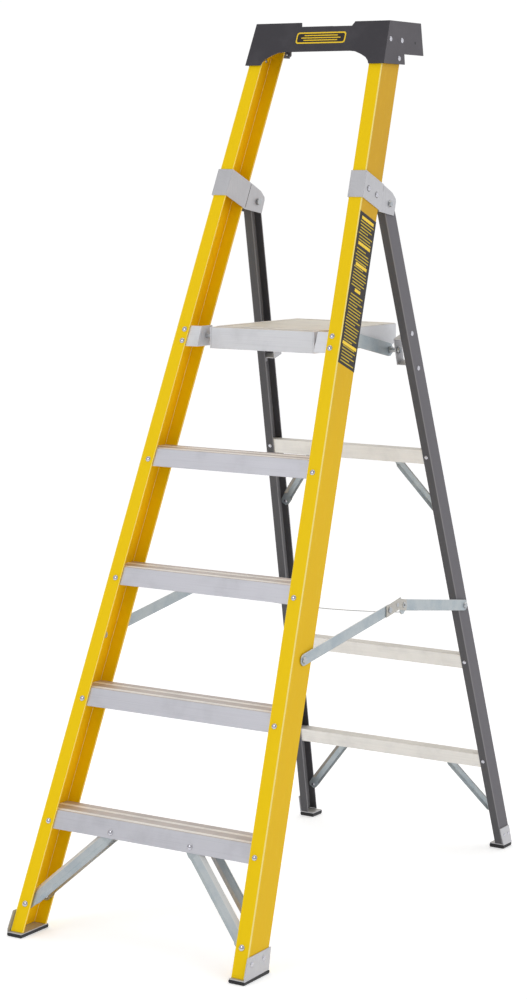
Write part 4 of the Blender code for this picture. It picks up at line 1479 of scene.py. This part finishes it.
@dataclass
class StileLabel:
    """A plain label on the right stile's web: dark film with rows of meaningless bars."""

    low: float = 1.3035
    high: float = 1.6440
    front: float = 0.0015
    back: float = 0.0744
    row_step: float = 0.0068
    headings: tuple = (1.6325, 1.5750, 1.5285, 1.4730, 1.3510)
    heading_widths: tuple = (0.0560, 0.0600, 0.0600, 0.0300, 0.0620)
    row_widths: tuple = (0.0620, 0.0600, 0.0630, 0.0540, 0.0615, 0.0440)
    full_width: float = 0.0630
    heading_clearance: float = 0.0058

    def on_web(self, u: float, v: float, proud: float) -> Vector:
        """A point on the right web, a little proud of it."""
        return FRONT.point(FRONT.outer(u) + proud, u, v)

    def build(self, shop: Workshop) -> None:
        """Builds the film and its rows."""
        corners = ((self.low, self.front), (self.low, self.back), (self.high, self.back),
                   (self.high, self.front))
        film = loft("label_film", [[self.on_web(u, v, proud) for u, v in corners]
                                   for proud in (-0.0002, 0.0002)])
        shop.fit(film, "front_frame", DARK_FILM)
        self.rows(shop)

    def rows(self, shop: Workshop) -> None:
        """Lays the rows of bars and the brighter headings.

        Args:
            shop: the workshop that fits the pieces.
        """
        middle = (self.front + self.back) / 2
        text: dict[str, list] = {"points": [], "sizes": []}
        bright: dict[str, list] = {"points": [], "sizes": []}
        u, index = self.high - 0.0065, 0
        while u > self.low + 0.006:
            near = min(abs(u - heading) for heading in self.headings)
            if near > self.heading_clearance:
                length = self.row_widths[index % len(self.row_widths)]
                shift = (self.full_width - length) / 2
                text["points"].append(self.on_web(u, middle - shift, 0.0003))
                text["sizes"].append(Vector((length, Band.TEXT.value, 1.0)))
            u -= self.row_step
            index += 1
        for heading, width in zip(self.headings, self.heading_widths):
            bright["points"].append(self.on_web(heading, middle, 0.00035))
            bright["sizes"].append(Vector((width, Band.HEADING.value, 1.0)))
        for name, rows, finish in (("label_rows", text, DIM_FILM),
                                   ("label_headings", bright, YELLOW_FILM)):
            count = len(rows["points"])
            aim = OUTWARDS + FRONT.up() * FRONT.taper
            piece = run_tree(name, PrintTree().build(), rows["points"],
                             {"along": [FRONT.back()] * count, "aim": [aim] * count,
                              "size": rows["sizes"]},
                             {"Thickness": 0.0002, "Seed": 7, "Finish": finish.material()})
            shop.fit(piece, "front_frame", finish)


# ---------------------------------------------------------------- studio


@dataclass(frozen=True)
class SoftLight:
    """A large soft lamp."""

    name: str
    place: tuple
    target: tuple
    size: float
    power: float
    tint: tuple = (1.0, 1.0, 1.0)

    def build(self) -> None:
        """Hangs the lamp and aims it."""
        lamp = bpy.data.lights.new(self.name, "AREA")
        lamp.shape = "DISK"
        lamp.size = self.size
        lamp.energy = self.power
        lamp.color = self.tint
        made = bpy.data.objects.new(self.name, lamp)
        bpy.context.scene.collection.objects.link(made)
        made.location = self.place
        made.rotation_mode = "QUATERNION"
        made.rotation_quaternion = (Vector(self.target) - Vector(self.place)).to_track_quat(
            "-Z", "Y")


@dataclass
class Studio:
    """The pale floor, the light and the camera."""

    eye: tuple = (2.8198, -3.9894 + FOOT_Y, 1.6172)
    azimuth: float = 31.934
    elevation: float = 7.726
    roll: float = 0.359
    lens: float = 88.48
    ambient: float = 1.02
    shaded: float = 0.55

    def build(self) -> None:
        """Sets the stage."""
        self.floor()
        self.world()
        for light in (
            SoftLight("key", (-1.6, -4.2, 3.4), (0.0, 0.0, 0.9), 2.6, 40.0),
            SoftLight("side", (4.6, -0.6, 2.6), (0.0, 0.0, 0.9), 2.6, 14.0),
            SoftLight("top", (0.0, 0.4, 5.2), (0.0, 0.0, 0.6), 3.0, 14.0),
        ):
            light.build()
        self.camera()

    def floor(self) -> None:
        """A wide level floor under the pads."""
        reach = 14.0
        plane = mesh_of("floor", [(-reach, -reach, 0.0), (reach, -reach, 0.0),
                                  (reach, reach, 0.0), (-reach, reach, 0.0)],
                        [[0, 1, 2, 3]], False)
        plane.data.materials.append(PAPER.material())

    def world(self) -> None:
        """A white surround, dimmer behind the camera."""
        world = bpy.data.worlds.new("surround")
        world.use_nodes = True
        shade = world.node_tree.nodes["Background"]
        graph = Graph(world.node_tree)
        where = graph.add("ShaderNodeTexCoord")
        _, depth, rise = graph.parts(Term(graph, where.outputs["Generated"]))
        bright = (depth.ramp(-0.35, 0.15, self.shaded, self.ambient)
                  - rise.ramp(0.45, 0.95) * 0.15)
        world.node_tree.links.new(bright.socket, shade.inputs["Strength"])
        shade.inputs["Color"].default_value = (1.0, 1.0, 1.0, 1.0)
        bpy.context.scene.world = world

    def camera(self) -> None:
        """The camera, a little to the right of the front and just above the platform."""
        turn, rise, roll = (math.radians(a) for a in (self.azimuth, self.elevation, self.roll))
        back = Vector((math.sin(turn) * math.cos(rise), -math.cos(turn) * math.cos(rise),
                       math.sin(rise)))
        right = (-back).cross(Vector((0.0, 0.0, 1.0))).normalized()
        up = right.cross(-back)
        across = right * math.cos(roll) + up * math.sin(roll)
        above = up * math.cos(roll) - right * math.sin(roll)
        data = bpy.data.cameras.new("camera")
        data.sensor_width = 36.0
        data.lens = self.lens
        data.clip_end = 60.0
        made = bpy.data.objects.new("camera", data)
        bpy.context.scene.collection.objects.link(made)
        made.matrix_world = Matrix.Translation(self.eye) @ Matrix(
            (across, above, back)).transposed().to_4x4()
        bpy.context.scene.camera = made


def main() -> None:
    """Builds the studio and every sub-assembly in order."""
    logging.basicConfig(level=logging.INFO, format="%(name)s: %(message)s")
    bpy.context.scene.view_settings.view_transform = "Standard"
    Studio().build()
    shop = Workshop()
    for assembly in (Stiles(), Treads(), Braces(), RearBars(), Hinges(), Platform(), Feet(),
                     Spreaders(), TopCap(), StileLabel()):
        assembly.build(shop)
        LOG.info("%s done, %d pieces so far", type(assembly).__name__, shop.count)


if __name__ == "__main__":
    main()
